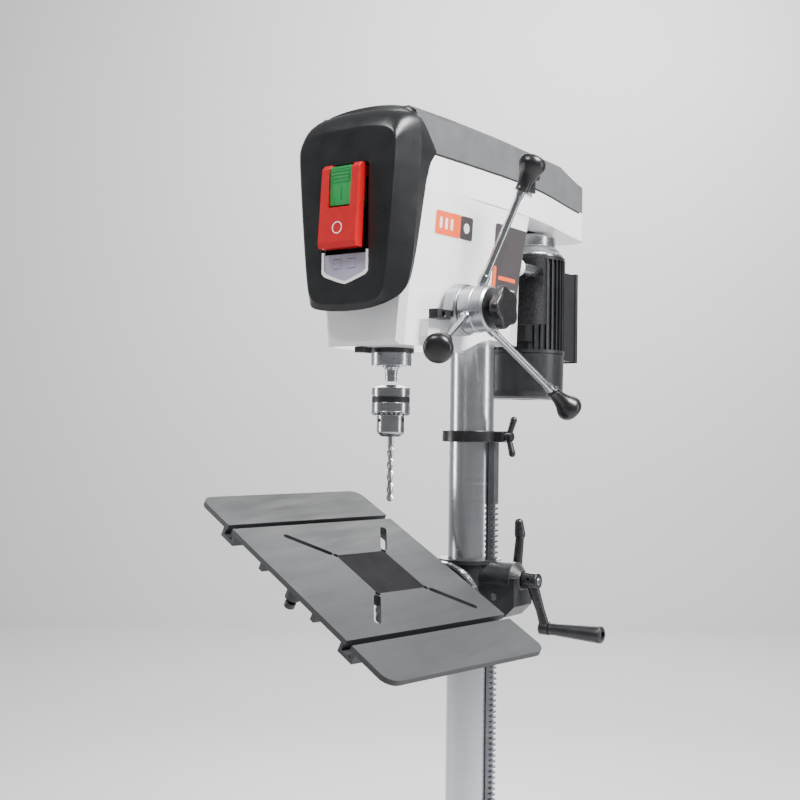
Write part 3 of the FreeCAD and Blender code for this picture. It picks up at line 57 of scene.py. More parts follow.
def material(name, colour, rough, metal=0.0, vary=0.06, patch=9.0, grain=900.0, bump=0.12, depth=0.0002,
             rough_vary=0.08, stretch=(1, 1, 1), coat=0.0, specular=0.5, edge=None, edge_width=0.0012):
    """A surface with patchy colour, uneven gloss, fine relief and, if asked, a painted highlight along its
    edges.
    """
    mat = bpy.data.materials.new(name)
    mat.use_nodes = True
    tree = mat.node_tree
    tree.nodes.clear()
    new = tree.nodes.new
    link = tree.links.new
    out = new("ShaderNodeOutputMaterial")
    shader = new("ShaderNodeBsdfPrincipled")
    link(shader.outputs[0], out.inputs[0])
    shader.inputs["Metallic"].default_value = metal
    shader.inputs["Coat Weight"].default_value = coat
    shader.inputs["Coat Roughness"].default_value = 0.12
    shader.inputs["Specular IOR Level"].default_value = specular
    where = new("ShaderNodeTexCoord")
    scale = new("ShaderNodeMapping")
    scale.inputs["Scale"].default_value = stretch
    link(where.outputs["Object"], scale.inputs["Vector"])

    def noise(size, detail, source=scale.outputs[0]):
        node = new("ShaderNodeTexNoise")
        node.inputs["Scale"].default_value = size
        node.inputs["Detail"].default_value = detail
        node.inputs["Roughness"].default_value = 0.55
        link(source, node.inputs["Vector"])
        return node.outputs["Fac"]

    patches = noise(patch, 4.0, where.outputs["Object"])
    ramp = new("ShaderNodeValToRGB")
    ramp.color_ramp.elements[0].position = 0.3
    ramp.color_ramp.elements[1].position = 0.7
    dark = [max(0.0, c * (1 - vary)) for c in colour] + [1]
    light = [min(1.0, c * (1 + vary) + vary * 0.01) for c in colour] + [1]
    ramp.color_ramp.elements[0].color = dark
    ramp.color_ramp.elements[1].color = light
    link(patches, ramp.inputs[0])
    shade = ramp.outputs[0]
    fine = noise(grain, 3.0)
    # Painted highlight: where the bevel finds an edge, the colour moves towards the lighter edge colour, in
    # patches.
    if edge:
        bevel = new("ShaderNodeBevel")
        bevel.samples = 4
        bevel.inputs["Radius"].default_value = edge_width
        geometry = new("ShaderNodeNewGeometry")
        dot = new("ShaderNodeVectorMath")
        dot.operation = "DOT_PRODUCT"
        link(bevel.outputs[0], dot.inputs[0])
        link(geometry.outputs["Normal"], dot.inputs[1])
        edge_highlight_mask = new("ShaderNodeMapRange")
        edge_highlight_mask.inputs["From Min"].default_value = 0.985
        edge_highlight_mask.inputs["From Max"].default_value = 0.86
        link(dot.outputs["Value"], edge_highlight_mask.inputs["Value"])
        edge_highlight_patches = new("ShaderNodeMath")
        edge_highlight_patches.operation = "MULTIPLY"
        link(edge_highlight_mask.outputs[0], edge_highlight_patches.inputs[0])
        link(noise(140.0, 3.0, where.outputs["Object"]), edge_highlight_patches.inputs[1])
        mix = new("ShaderNodeMix")
        mix.data_type = "RGBA"
        mix.inputs["B"].default_value = list(edge) + [1]
        link(edge_highlight_patches.outputs[0], mix.inputs["Factor"])
        link(shade, mix.inputs["A"])
        shade = mix.outputs["Result"]
    link(shade, shader.inputs["Base Color"])
    gloss = new("ShaderNodeMapRange")
    gloss.inputs["From Min"].default_value = 0.25
    gloss.inputs["From Max"].default_value = 0.75
    gloss.inputs["To Min"].default_value = max(0.02, rough - rough_vary)
    gloss.inputs["To Max"].default_value = min(1.0, rough + rough_vary)
    link(noise(patch * 4, 5.0), gloss.inputs["Value"])
    link(gloss.outputs[0], shader.inputs["Roughness"])
    relief = new("ShaderNodeBump")
    relief.inputs["Strength"].default_value = bump
    relief.inputs["Distance"].default_value = depth
    link(fine, relief.inputs["Height"])
    link(relief.outputs[0], shader.inputs["Normal"])
    return mat


def table_material():
    """Ground grey iron on top, dark rough casting elsewhere, split by the table's normal."""
    mat = material("table_iron", (0.050, 0.0515, 0.054), 0.50, metal=0.35, vary=0.10, patch=14, grain=1400,
                   bump=0.08, stretch=(1, 0.12, 1), rough_vary=0.10, specular=0.5)
    tree = mat.node_tree
    new, link = tree.nodes.new, tree.links.new
    top = next(n for n in tree.nodes if n.type == "BSDF_PRINCIPLED")
    out = next(n for n in tree.nodes if n.type == "OUTPUT_MATERIAL")
    where = next(n for n in tree.nodes if n.type == "TEX_COORD")
    normal = TABLE_NORMAL
    pivot = Vector(JOINTS["table_tilt"]["pos_m"])
    height = new("ShaderNodeVectorMath")
    height.operation = "DOT_PRODUCT"
    height.inputs[1].default_value = normal
    link(where.outputs["Object"], height.inputs[0])
    above = new("ShaderNodeMapRange")
    above.inputs["From Min"].default_value = pivot.dot(normal) + 0.0431
    above.inputs["From Max"].default_value = pivot.dot(normal) + 0.0436
    link(height.outputs["Value"], above.inputs["Value"])
    cast = new("ShaderNodeBsdfPrincipled")
    cast.inputs["Roughness"].default_value = 0.5
    cast.inputs["Specular IOR Level"].default_value = 0.45
    lumps = new("ShaderNodeTexNoise")
    lumps.inputs["Scale"].default_value = 420
    lumps.inputs["Detail"].default_value = 5
    link(where.outputs["Object"], lumps.inputs["Vector"])
    tone = new("ShaderNodeValToRGB")
    tone.color_ramp.elements[0].color = (0.016, 0.017, 0.019, 1)
    tone.color_ramp.elements[1].color = (0.035, 0.036, 0.04, 1)
    link(lumps.outputs["Fac"], tone.inputs[0])
    link(tone.outputs[0], cast.inputs["Base Color"])
    relief = new("ShaderNodeBump")
    relief.inputs["Strength"].default_value = 0.5
    relief.inputs["Distance"].default_value = 0.0006
    link(lumps.outputs["Fac"], relief.inputs["Height"])
    link(relief.outputs[0], cast.inputs["Normal"])
    blend = new("ShaderNodeMixShader")
    link(above.outputs[0], blend.inputs[0])
    link(cast.outputs[0], blend.inputs[1])
    link(top.outputs[0], blend.inputs[2])
    link(blend.outputs[0], out.inputs[0])
    return mat


def cover_material():
    """Grained plastic with a darker top and sides in a lighter grey that is painted light, split by how level
    the surface lies.
    """
    mat = material("grey_plastic", (0.105, 0.108, 0.112), 0.50, vary=0.12, patch=30, grain=1500, bump=0.35,
                   depth=0.00025, rough_vary=0.06)
    tree = mat.node_tree
    shader = next(n for n in tree.nodes if n.type == "BSDF_PRINCIPLED")
    where = next(n for n in tree.nodes if n.type == "TEX_COORD")
    colour = shader.inputs["Base Color"].links[0].from_socket
    split = tree.nodes.new("ShaderNodeSeparateXYZ")
    tree.links.new(where.outputs["Normal"], split.inputs[0])
    level = tree.nodes.new("ShaderNodeMapRange")
    level.inputs["From Min"].default_value = 0.30
    level.inputs["From Max"].default_value = 0.42
    tree.links.new(split.outputs["Z"], level.inputs["Value"])
    # Painted light: the sides keep the lighter grey as if lit from the side; level faces on top get the
    # darker colour the plastic really has.
    mix = tree.nodes.new("ShaderNodeMix")
    mix.data_type = "RGBA"
    mix.inputs["B"].default_value = (0.020, 0.0205, 0.022, 1)
    tree.links.new(level.outputs[0], mix.inputs["Factor"])
    tree.links.new(colour, mix.inputs["A"])
    tree.links.new(mix.outputs["Result"], shader.inputs["Base Color"])
    return mat


TABLE_NORMAL = Vector(JOINTS["insert_lift"]["axis"])

MATS = {
    "white": material("white_paint", (0.87, 0.875, 0.88), 0.34, vary=0.012, patch=5, grain=520, bump=0.05,
                      depth=0.0003, rough_vary=0.05, coat=0.25),
    "bezel": material("bezel_black", (0.011, 0.0115, 0.0125), 0.30, vary=0.12, patch=9, grain=1500, bump=0.02,
                      rough_vary=0.05, specular=0.42),
    "black_plastic": material("black_plastic", (0.014, 0.014, 0.016), 0.36, vary=0.2, patch=40, grain=1500,
                              bump=0.12, rough_vary=0.08),
    "knob": material("knob_black", (0.008, 0.008, 0.009), 0.30, vary=0.1, patch=50, grain=900, bump=0.015,
                     depth=0.0001, rough_vary=0.04),
    # Where an entry below gives edge=, that colour is a painted highlight along the part's edges.
    "cast": material("black_casting", (0.014, 0.0145, 0.016), 0.40, vary=0.3, patch=60, grain=330, bump=0.55,
                     depth=0.0007, rough_vary=0.12, edge=(0.12, 0.12, 0.125)),
    "base": material("base_casting", (0.016, 0.0165, 0.018), 0.46, vary=0.3, patch=20, grain=260, bump=0.5,
                     depth=0.0008, rough_vary=0.12, edge=(0.10, 0.10, 0.105)),
    "black_paint": material("black_paint", (0.013, 0.013, 0.015), 0.30, vary=0.2, patch=40, grain=500,
                            bump=0.15, depth=0.0003, rough_vary=0.10, edge=(0.16, 0.16, 0.165),
                            edge_width=0.0008),
    "column": material("column_steel", (0.60, 0.61, 0.63), 0.25, metal=1.0, vary=0.035, patch=7, grain=260,
                       bump=0.035, depth=0.00008, rough_vary=0.035, stretch=(0.10, 0.10, 5.0)),
    "rack": material("rack_steel", (0.26, 0.27, 0.29), 0.38, metal=1.0, vary=0.15, patch=25, grain=700,
                     bump=0.2, rough_vary=0.1),
    "steel": material("turned_steel", (0.50, 0.51, 0.53), 0.27, metal=1.0, vary=0.05, patch=40, grain=240,
                      bump=0.008, depth=0.0001, rough_vary=0.04, stretch=(0.3, 0.3, 3.0)),
    "chuck": material("chuck_steel", (0.46, 0.465, 0.48), 0.23, metal=1.0, vary=0.06, patch=60, grain=240,
                      bump=0.008, depth=0.0001, rough_vary=0.04, stretch=(0.3, 0.3, 3.0),
                      edge=(0.75, 0.76, 0.78), edge_width=0.0006),
    "dark_steel": material("dark_steel", (0.02, 0.0205, 0.022), 0.42, metal=0.5, vary=0.2, patch=80,
                           grain=900, bump=0.05, rough_vary=0.06),
    "bit": material("bit_steel", (0.50, 0.50, 0.51), 0.24, metal=1.0, vary=0.10, patch=90, grain=1600,
                    bump=0.03, rough_vary=0.05),
    "hub": material("hub_metal", (0.40, 0.41, 0.43), 0.33, metal=1.0, vary=0.06, patch=30, grain=900,
                    bump=0.15, rough_vary=0.08, stretch=(5.0, 0.3, 0.3)),
    "chrome": material("handle_chrome", (0.46, 0.47, 0.49), 0.20, metal=1.0, vary=0.05, patch=30, grain=500,
                       bump=0.05, rough_vary=0.06),
    "bell": material("bell_aluminium", (0.55, 0.56, 0.58), 0.24, metal=1.0, vary=0.07, patch=30, grain=400,
                     bump=0.2, rough_vary=0.08),
    "motor": material("motor_black", (0.011, 0.0115, 0.013), 0.38, vary=0.2, patch=25, grain=420, bump=0.3,
                      depth=0.0004, rough_vary=0.1),
    "box": material("box_black", (0.012, 0.012, 0.013), 0.42, vary=0.12, patch=30, grain=1300, bump=0.08,
                    rough_vary=0.08),
    "red": material("red_plastic", (0.48, 0.004, 0.008), 0.32, vary=0.05, patch=30, grain=1500, bump=0.05,
                    rough_vary=0.05, coat=0.15),
    "green": material("green_plastic", (0.012, 0.25, 0.055), 0.38, vary=0.06, patch=30, grain=1500, bump=0.08,
                      rough_vary=0.05),
    "lilac": material("lilac_panel", (0.34, 0.32, 0.41), 0.40, vary=0.05, patch=60, grain=1500, bump=0.06,
                      rough_vary=0.05),
    "print_white": material("print_white", (0.82, 0.82, 0.82), 0.42, vary=0.02, patch=60, grain=1500,
                            bump=0.03),
    "print_orange": material("print_orange", (0.85, 0.11, 0.025), 0.36, vary=0.03, patch=40, grain=1500,
                             bump=0.03),
    "print_dark": material("print_dark", (0.055, 0.048, 0.05), 0.34, vary=0.08, patch=18, grain=1500,
                           bump=0.03),
    "seam": material("seam_rubber", (0.006, 0.006, 0.006), 0.7, vary=0.2, patch=60, grain=900, bump=0.2),
    "insert": material("insert_black", (0.006, 0.006, 0.007), 0.80, vary=0.25, patch=40, grain=1200, bump=0.2,
                       rough_vary=0.06, specular=0.15),
    "pulley": material("pulley_aluminium", (0.58, 0.59, 0.61), 0.30, metal=1.0, vary=0.08, patch=40,
                       grain=500, bump=0.15, stretch=(0.3, 0.3, 5.0)),
    "belt": material("belt_rubber", (0.012, 0.012, 0.012), 0.72, vary=0.2, patch=40, grain=1300, bump=0.4),
}
MATS["table"] = table_material()
# The grey on the belt cover's sides is painted light.
MATS["grey"] = cover_material()

PAINT = {
    "white": ["head_casting"],
    "grey": ["belt_cover"],
    "bezel": ["front_bezel"],
    "cast": ["table_bracket"],
    "base": ["base", "column_flange"],
    "black_paint": ["rack_collar", "collar_wing_screw", "crank_arm", "column_clamp_lever", "tension_lever",
                    "motor_plate", "spring_cap"],
    "black_plastic": ["switch_housing", "cover_latch", "work_light", "cable_gland", "quill_seal",
                      "depth_pointer", "table_knob", "crank_grip"],
    "knob": ["handle_knobs", "hub_knob"],
    "column": ["column"],
    "rack": ["rack", "table_gear", "table_worm_shaft", "return_spring"],
    "steel": ["flange_bolts", "table_pivot_bolt", "slide_bars", "quill", "quill_bearings", "spindle",
              "feed_shaft", "motor_rotor", "tilt_scale"],
    "chuck": ["chuck_body", "chuck_sleeve"],
    "dark_steel": ["chuck_jaw_1", "chuck_jaw_2", "chuck_jaw_3"],
    "bit": ["drill_bit"],
    "hub": ["feed_hub", "depth_ring"],
    "chrome": ["feed_handles"],
    "bell": ["motor_end_bell"],
    "motor": ["motor_body", "fan_cowl"],
    "box": ["capacitor_box"],
    "red": ["stop_paddle"],
    "green": ["start_button"],
    "lilac": ["left_rocker", "right_rocker"],
    "insert": ["table_insert"],
    "pulley": ["spindle_pulley", "idler_pulley", "motor_pulley"],
    "belt": ["drive_belts"],
    "table": ["table"],
}
SOFT_EDGES = {
    "base": 0.004, "column_flange": 0.002, "head_casting": 0.0025, "belt_cover": 0.0025, "table": 0.0009,
    "table_bracket": 0.002, "stop_paddle": 0.0024, "start_button": 0.0008, "switch_housing": 0.0006,
    "left_rocker": 0.0012, "right_rocker": 0.0012, "cover_latch": 0.0012, "capacitor_box": 0.0016,
    "column_clamp_lever": 0.0012, "crank_arm": 0.001, "crank_grip": 0.0006, "rack_collar": 0.0008,
    "collar_wing_screw": 0.0008, "depth_pointer": 0.0014, "feed_hub": 0.0008, "depth_ring": 0.0006,
    "motor_body": 0.0005, "motor_end_bell": 0.001, "fan_cowl": 0.001, "motor_plate": 0.001,
    "table_insert": 0.0006, "table_knob": 0.0006, "work_light": 0.0015, "quill": 0.0006,
    "quill_seal": 0.0006, "chuck_body": 0.0005, "chuck_sleeve": 0.0003, "spring_cap": 0.0008,
    "tension_lever": 0.0008, "flange_bolts": 0.0006, "table_pivot_bolt": 0.0008, "column": 0.0004,
    "cable_gland": 0.0006,
}


def finish_nodes():
    for name, labels in PAINT.items():
        for label in labels:
            item = NODES[label]
            item.data.materials.clear()
            item.data.materials.append(MATS[name])
    for label, width in SOFT_EDGES.items():
        item = NODES[label]
        weld = item.modifiers.new("weld", "WELD")
        weld.merge_threshold = 0.00001
        bevel = item.modifiers.new("soft_edges", "BEVEL")
        bevel.width = width
        bevel.segments = 3
        bevel.limit_method = "ANGLE"
        bevel.angle_limit = math.radians(38)
        bevel.use_clamp_overlap = True
        bevel.harden_normals = False
        shade = item.modifiers.new("even_normals", "WEIGHTED_NORMAL")
        shade.keep_sharp = True


# ---------------------------------------------------------------- mesh helpers

BOX_FACES = [(0, 1, 2, 3), (7, 6, 5, 4), (0, 4, 5, 1), (1, 5, 6, 2), (2, 6, 7, 3), (3, 7, 4, 0)]


def mesh_object(name, verts, faces, mat, body, smooth=math.radians(35), replaces=()):
    data = bpy.data.meshes.new(name)
    data.from_pydata([tuple(v) for v in verts], [], faces)
    data.validate()
    bm = bmesh.new()
    bm.from_mesh(data)
    bmesh.ops.recalc_face_normals(bm, faces=bm.faces)
    for edge in bm.edges:
        if len(edge.link_faces) == 2:
            edge.smooth = edge.calc_face_angle(0) < smooth
    for face in bm.faces:
        face.smooth = True
    bm.to_mesh(data)
    bm.free()
    item = bpy.data.objects.new(name, data)
    SCENE.collection.objects.link(item)
    data.materials.append(mat)
    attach(item, body)
    if replaces:
        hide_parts(*replaces)
    return item


def join_parts(parts):
    """One vertex and face list from several."""
    verts, faces = [], []
    for part_verts, part_faces in parts:
        base = len(verts)
        verts += part_verts
        faces += [tuple(base + i for i in face) for face in part_faces]
    return verts, faces


def ring_walls(rows, count):
    """The faces between rows of points, each row a closed ring."""
    faces = []
    for row in range(rows):
        for k in range(count):
            a, b = row * count + k, row * count + (k + 1) % count
            faces.append((a, b, b + count, a + count))
    return faces


def slab(x_low, x_high, z_low, z_high, y_front, y_back):
    """A plain box that faces the front."""
    corners = ((x_low, z_low), (x_high, z_low), (x_high, z_high), (x_low, z_high))
    return [(x, y, z) for y in (y_front, y_back) for x, z in corners], BOX_FACES


def smooth_profile(points, steps=8):
    """A Catmull-Rom curve through (radius, height) points."""
    out = []
    padded = [points[0]] + list(points) + [points[-1]]
    for i in range(1, len(padded) - 2):
        p0, p1, p2, p3 = padded[i - 1:i + 3]
        for k in range(steps):
            t = k / steps
            out.append(tuple(0.5 * (2 * b + (c - a) * t + (2 * a - 5 * b + 4 * c - d) * t * t +
                                    (3 * b - a - 3 * c + d) * t ** 3)
                             for a, b, c, d in zip(p0, p1, p2, p3)))
    out.append(tuple(points[-1]))
    return [(max(r, 0.0), h) for r, h in out]


def basis(axis):
    axis = Vector(axis).normalized()
    side = axis.orthogonal().normalized()
    return side, axis.cross(side), axis


def lathe(profile, origin, axis, count=64, radius=None):
    """Vertices and faces of a turned form; radius(angle, r, h) can shape it away from round."""
    side, up, along = basis(axis)
    origin = Vector(origin)
    verts = []
    for r, h in profile:
        for k in range(count):
            angle = 2 * math.pi * k / count
            real = radius(angle, r, h) if radius else r
            verts.append(origin + along * h + (side * math.cos(angle) + up * math.sin(angle)) * real)
    faces = ring_walls(len(profile) - 1, count)
    faces.append(tuple(reversed(range(count))))
    faces.append(tuple((len(profile) - 1) * count + k for k in range(count)))
    return verts, faces


# ---------------------------------------------------------------- feed handles and knobs

FEED = Vector(JOINTS["feed_turn"]["pos_m"])
HANDLE_ANGLES = [math.radians(10.67 + 120 * k) for k in range(3)]
HANDLE_REACH, HANDLE_X, HANDLE_ROOT = 0.209, 0.187, 0.027
HUB_X, KNOB_X = 0.122, 0.149
DIAL_RADIUS, DIAL_EDGE_X, DIAL_MARKS = 0.03805, 0.0990, 60


def handle_line(angle):
    radial = Vector((0, math.sin(angle), math.cos(angle)))
    root = Vector((HUB_X, FEED.y, FEED.z)) + radial * HANDLE_ROOT
    tip = Vector((HANDLE_X, FEED.y, FEED.z)) + radial * HANDLE_REACH
    return root, tip


def build_feed():
    bars, grips = [], []
    for angle in HANDLE_ANGLES:
        root, tip = handle_line(angle)
        axis = tip - root
        length = axis.length
        bar = [(0.0, 0.004), (0.0060, 0.004), (0.0060, 0.010), (0.0072, 0.0102), (0.0080, 0.0112),
               (0.0080, 0.0235), (0.0072, 0.0245), (0.0062, 0.0255), (0.0060, 0.029), (0.0056, 0.034),
               (0.0054, length * 0.5), (0.0053, length - 0.050), (0.0062, length - 0.046),
               (0.0066, length - 0.044), (0.0066, length - 0.037), (0.0055, length - 0.0365),
               (0.0, length - 0.0365)]
        bars.append(lathe(bar, root, axis, 40))
        pear = smooth_profile([(0.0, 0.0190), (0.0100, 0.0180), (0.0170, 0.0142), (0.0199, 0.0076),
                               (0.0195, 0.0016), (0.0168, -0.0046), (0.0136, -0.0108), (0.0114, -0.0178),
                               (0.0102, -0.0250), (0.0098, -0.0310), (0.0103, -0.0350), (0.0094, -0.0368)],
                              6)
        grips.append(lathe(pear + [(0.0060, -0.0368), (0.0056, -0.034)], tip, axis, 56))
    verts, faces = join_parts(bars)
    mesh_object("handle_bars", verts, faces, MATS["chrome"], "feed",
                replaces=("feed_handles",))
    verts, faces = join_parts(grips)
    mesh_object("handle_grips", verts, faces, MATS["knob"], "feed", replaces=("handle_knobs",))

    def lobed(angle, r, h):
        reach = max(0.0, min(1.0, (r - 0.016) / 0.012))
        return r * (1 - 0.085 * reach * (1 - math.cos(5 * angle + 0.6)))

    face = smooth_profile([(0.0130, 0.0), (0.0131, 0.006), (0.0145, 0.0088), (0.0225, 0.0098),
                           (0.0298, 0.0112), (0.0318, 0.0140), (0.0320, 0.0215), (0.0304, 0.0244),
                           (0.0250, 0.0256), (0.0120, 0.0264), (0.0030, 0.0267), (0.0, 0.0267)], 6)
    verts, faces = lathe(face, (KNOB_X, FEED.y, FEED.z), (1, 0, 0), 120, lobed)
    mesh_object("lock_knob_face", verts, faces, MATS["knob"], "lock_knob",
                replaces=("hub_knob",))

    ticks = []
    for i in range(DIAL_MARKS):
        angle = 2 * math.pi * i / DIAL_MARKS
        long = i % 5 == 0
        radial = Vector((0, math.sin(angle), math.cos(angle)))
        across = Vector((0, math.cos(angle), -math.sin(angle)))
        x_low, x_high = DIAL_EDGE_X - 0.0005 - (0.0065 if long else 0.0035), DIAL_EDGE_X
        centre = Vector((0, FEED.y, FEED.z)) + radial * DIAL_RADIUS
        corners = [centre + Vector((x, 0, 0)) + across * s * 0.00022 for x, s in
                   ((x_low, -1), (x_high, -1), (x_high, 1), (x_low, 1))]
        top = [c + radial * 0.00004 for c in corners]
        ticks.append((corners + top, BOX_FACES))
    verts, faces = join_parts(ticks)
    mesh_object("depth_scale_marks", verts, faces, MATS["print_dark"], "depth_dial")


# ---------------------------------------------------------------- chuck details and drill bit

def build_spindle():
    low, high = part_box("drill_bit")
    centre = ((low.x + high.x) / 2, (low.y + high.y) / 2)
    tip = low.z
    radius, lead, top, count, rows = 0.00475, 0.036, tip + 0.096, 64, 190
    verts = []
    for row in range(rows + 1):
        z = tip + (top - tip) * row / rows
        turn = 2 * math.pi * (z - tip) / lead
        taper = min(1.0, (z - tip) / 0.0029 + 0.02)
        fade = max(0.0, min(1.0, (tip + 0.088 - z) / 0.012))
        for k in range(count):
            angle = 2 * math.pi * k / count
            phase = abs(((angle * 2 / (2 * math.pi)) % 1.0) - 0.5) * 2
            groove = max(0.0, min(1.0, (0.56 - phase) / 0.20))
            groove = groove * groove * (3 - 2 * groove)
            r = (radius - 0.0024 * groove * fade) * taper
            verts.append((centre[0] + r * math.cos(angle + turn), centre[1] + r * math.sin(angle + turn), z))
    faces = ring_walls(rows, count)
    faces.append(tuple(reversed(range(count))))
    faces.append(tuple(rows * count + k for k in range(count)))
    shank = lathe([(0.0, 0.0), (0.0047, 0.0), (0.0047, high.z - top), (0.0, high.z - top)],
                  (centre[0], centre[1], top - 0.0005), (0, 0, 1), 48)
    verts, faces = join_parts([(verts, faces), shank])
    mesh_object("twist_drill", verts, faces, MATS["bit"], "spindle_group",
                replaces=("drill_bit",))

    low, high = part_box("chuck_sleeve")
    middle_y = (low.y + high.y) / 2
    band_low = high.z - 0.0100
    ridges = 96

    def knurl(angle, r, h):
        if not 0.0005 < h < 0.0085:
            return r
        return r + 0.0001 * (1 if int(angle * ridges / (2 * math.pi) + 0.01) % 2 else -1)

    band = [(0.0274, 0.0), (0.0279, 0.0004)] + [(0.0280, 0.0006 + 0.0009 * i) for i in range(9)] + \
           [(0.0279, 0.0088), (0.0274, 0.0092)]
    verts, faces = lathe(band, (0.0, middle_y, band_low), (0, 0, 1), 2 * ridges, knurl)
    mesh_object("sleeve_knurl", verts, faces[:-2], MATS["dark_steel"], "sleeve")

    # Painted shade: a dark steel ring behind the sleeve's teeth darkens the gaps between them.
    floor = [(0.0250, 0.0010), (0.0254, 0.0010), (0.0258, 0.0046), (0.0256, 0.0052), (0.0250, 0.0052)]
    verts, faces = lathe(floor, (0.0, middle_y, low.z), (0, 0, 1), 96)
    mesh_object("sleeve_tooth_gap_shade", verts, faces[:-2], MATS["dark_steel"], "sleeve")


# ---------------------------------------------------------------- front panel

FRONT = -0.343
SEAM = [(1.345, -0.336), (1.361, -0.318), (1.378, -0.308), (1.408, -0.303), (1.473, -0.290),
        (1.524, -0.279), (1.551, -0.269), (1.568, -0.254), (1.586, -0.269), (1.604, -0.2845),
        (1.6226, -0.2996), (1.64, -0.3002)]
FACE = [(0.048, 1.351), (0.061, 1.3575), (0.069, 1.376), (0.086, 1.560), (0.0835, 1.582), (0.066, 1.5925),
        (0.030, 1.597)]
BROW = [(0.044, 1.3415), (0.070, 1.349), (0.087, 1.368), (0.0945, 1.405), (0.0975, 1.480), (0.0995, 1.580),
        (0.0950, 1.611), (0.074, 1.6235), (0.035, 1.628)]
REAR = [(0.043, 1.3425), (0.068, 1.350), (0.085, 1.369), (0.0920, 1.405), (0.0935, 1.480), (0.0940, 1.585),
        (0.0915, 1.6155), (0.070, 1.6285), (0.035, 1.6345)]


def seam_y(z):
    """How far back the front panel's side reaches at a height."""
    if z <= SEAM[0][0]:
        return SEAM[0][1]
    for (z_a, y_a), (z_b, y_b) in zip(SEAM, SEAM[1:]):
        if z <= z_b:
            return y_a + (y_b - y_a) * (z - z_a) / (z_b - z_a)
    return SEAM[-1][1]


def even_ring(points, count):
    """A closed (x, z) line in equal steps from its first point."""
    closed = points + points[:1]
    lengths = [0.0]
    for (xa, za), (xb, zb) in zip(closed, closed[1:]):
        lengths.append(lengths[-1] + math.hypot(xb - xa, zb - za))
    out, i = [], 0
    for k in range(count):
        want = lengths[-1] * k / count
        while lengths[i + 1] < want:
            i += 1
        t = (want - lengths[i]) / max(1e-9, lengths[i + 1] - lengths[i])
        out.append((closed[i][0] + (closed[i + 1][0] - closed[i][0]) * t,
                    closed[i][1] + (closed[i + 1][1] - closed[i][1]) * t))
    return out


def mirrored_ring(half, low, high, count, rounds=3):
    """A symmetric outline from its right half's corners, with the corners cut round."""
    points = half + [(0.0, high)] + [(-x, z) for x, z in reversed(half)] + [(0.0, low)]
    for _ in range(rounds):
        soft = []
        for (xa, za), (xb, zb) in zip(points, points[1:] + points[:1]):
            soft += [(xa * 0.75 + xb * 0.25, za * 0.75 + zb * 0.25),
                     (xa * 0.25 + xb * 0.75, za * 0.25 + zb * 0.75)]
        points = soft
    lowest = min(range(len(points)), key=lambda k: abs(points[k][0]) + (10 if points[k][1] > 1.45 else 0))
    points = points[lowest:] + points[:lowest]
    return even_ring(points, count)


def window_ring(grow, count):
    """The window's outline with the same stepping: straight sides and a shallow V at its foot."""
    side, foot, top = 0.041 + grow, 1.377 - grow, 1.546 + grow
    points = [(0.0, foot), (side - 0.004, foot + 0.0125), (side, foot + 0.0165), (side, top - 0.003),
              (side - 0.003, top), (-side + 0.003, top), (-side, top - 0.003), (-side, foot + 0.0165),
              (-side + 0.004, foot + 0.0125)]
    return even_ring(points, count)


def brow_y(z):
    """How far back the sloped border's outer edge lies at a height."""
    side = -0.315 + 0.016 * max(0.0, min(1.0, (z - 1.38) / 0.20))
    return min(side, seam_y(z) - 0.003, -0.3003 if z > 1.60 else 0.0)


def plate_band(name, outer, inner, y, thick, mat):
    """A flat band between two outlines of (x, z) points."""
    n = len(outer)
    verts = [(x, depth, z) for depth in (y, y + thick) for line in (outer, inner) for x, z in line]
    faces = []
    for k in range(n):
        j = (k + 1) % n
        faces += [(k, j, n + j, n + k), (2 * n + k, 3 * n + k, 3 * n + j, 2 * n + j),
                  (k, 2 * n + k, 2 * n + j, j), (n + k, n + j, 3 * n + j, 3 * n + k)]
    mesh_object(name, verts, faces, mat, "frame")


def v_outline(side, foot, top):
    """The lower panel: straight sides that round into a shallow V."""
    points = [(-side, top), (-side, foot + 0.0165), (-side + 0.0045, foot + 0.0118)]
    points += [(-side + 0.0045 + (side - 0.0045) * k / 6, foot + 0.0118 * (1 - k / 6) ** 1.15)
               for k in range(1, 7)]
    return points + [(-x, z) for x, z in reversed(points[:-1])]


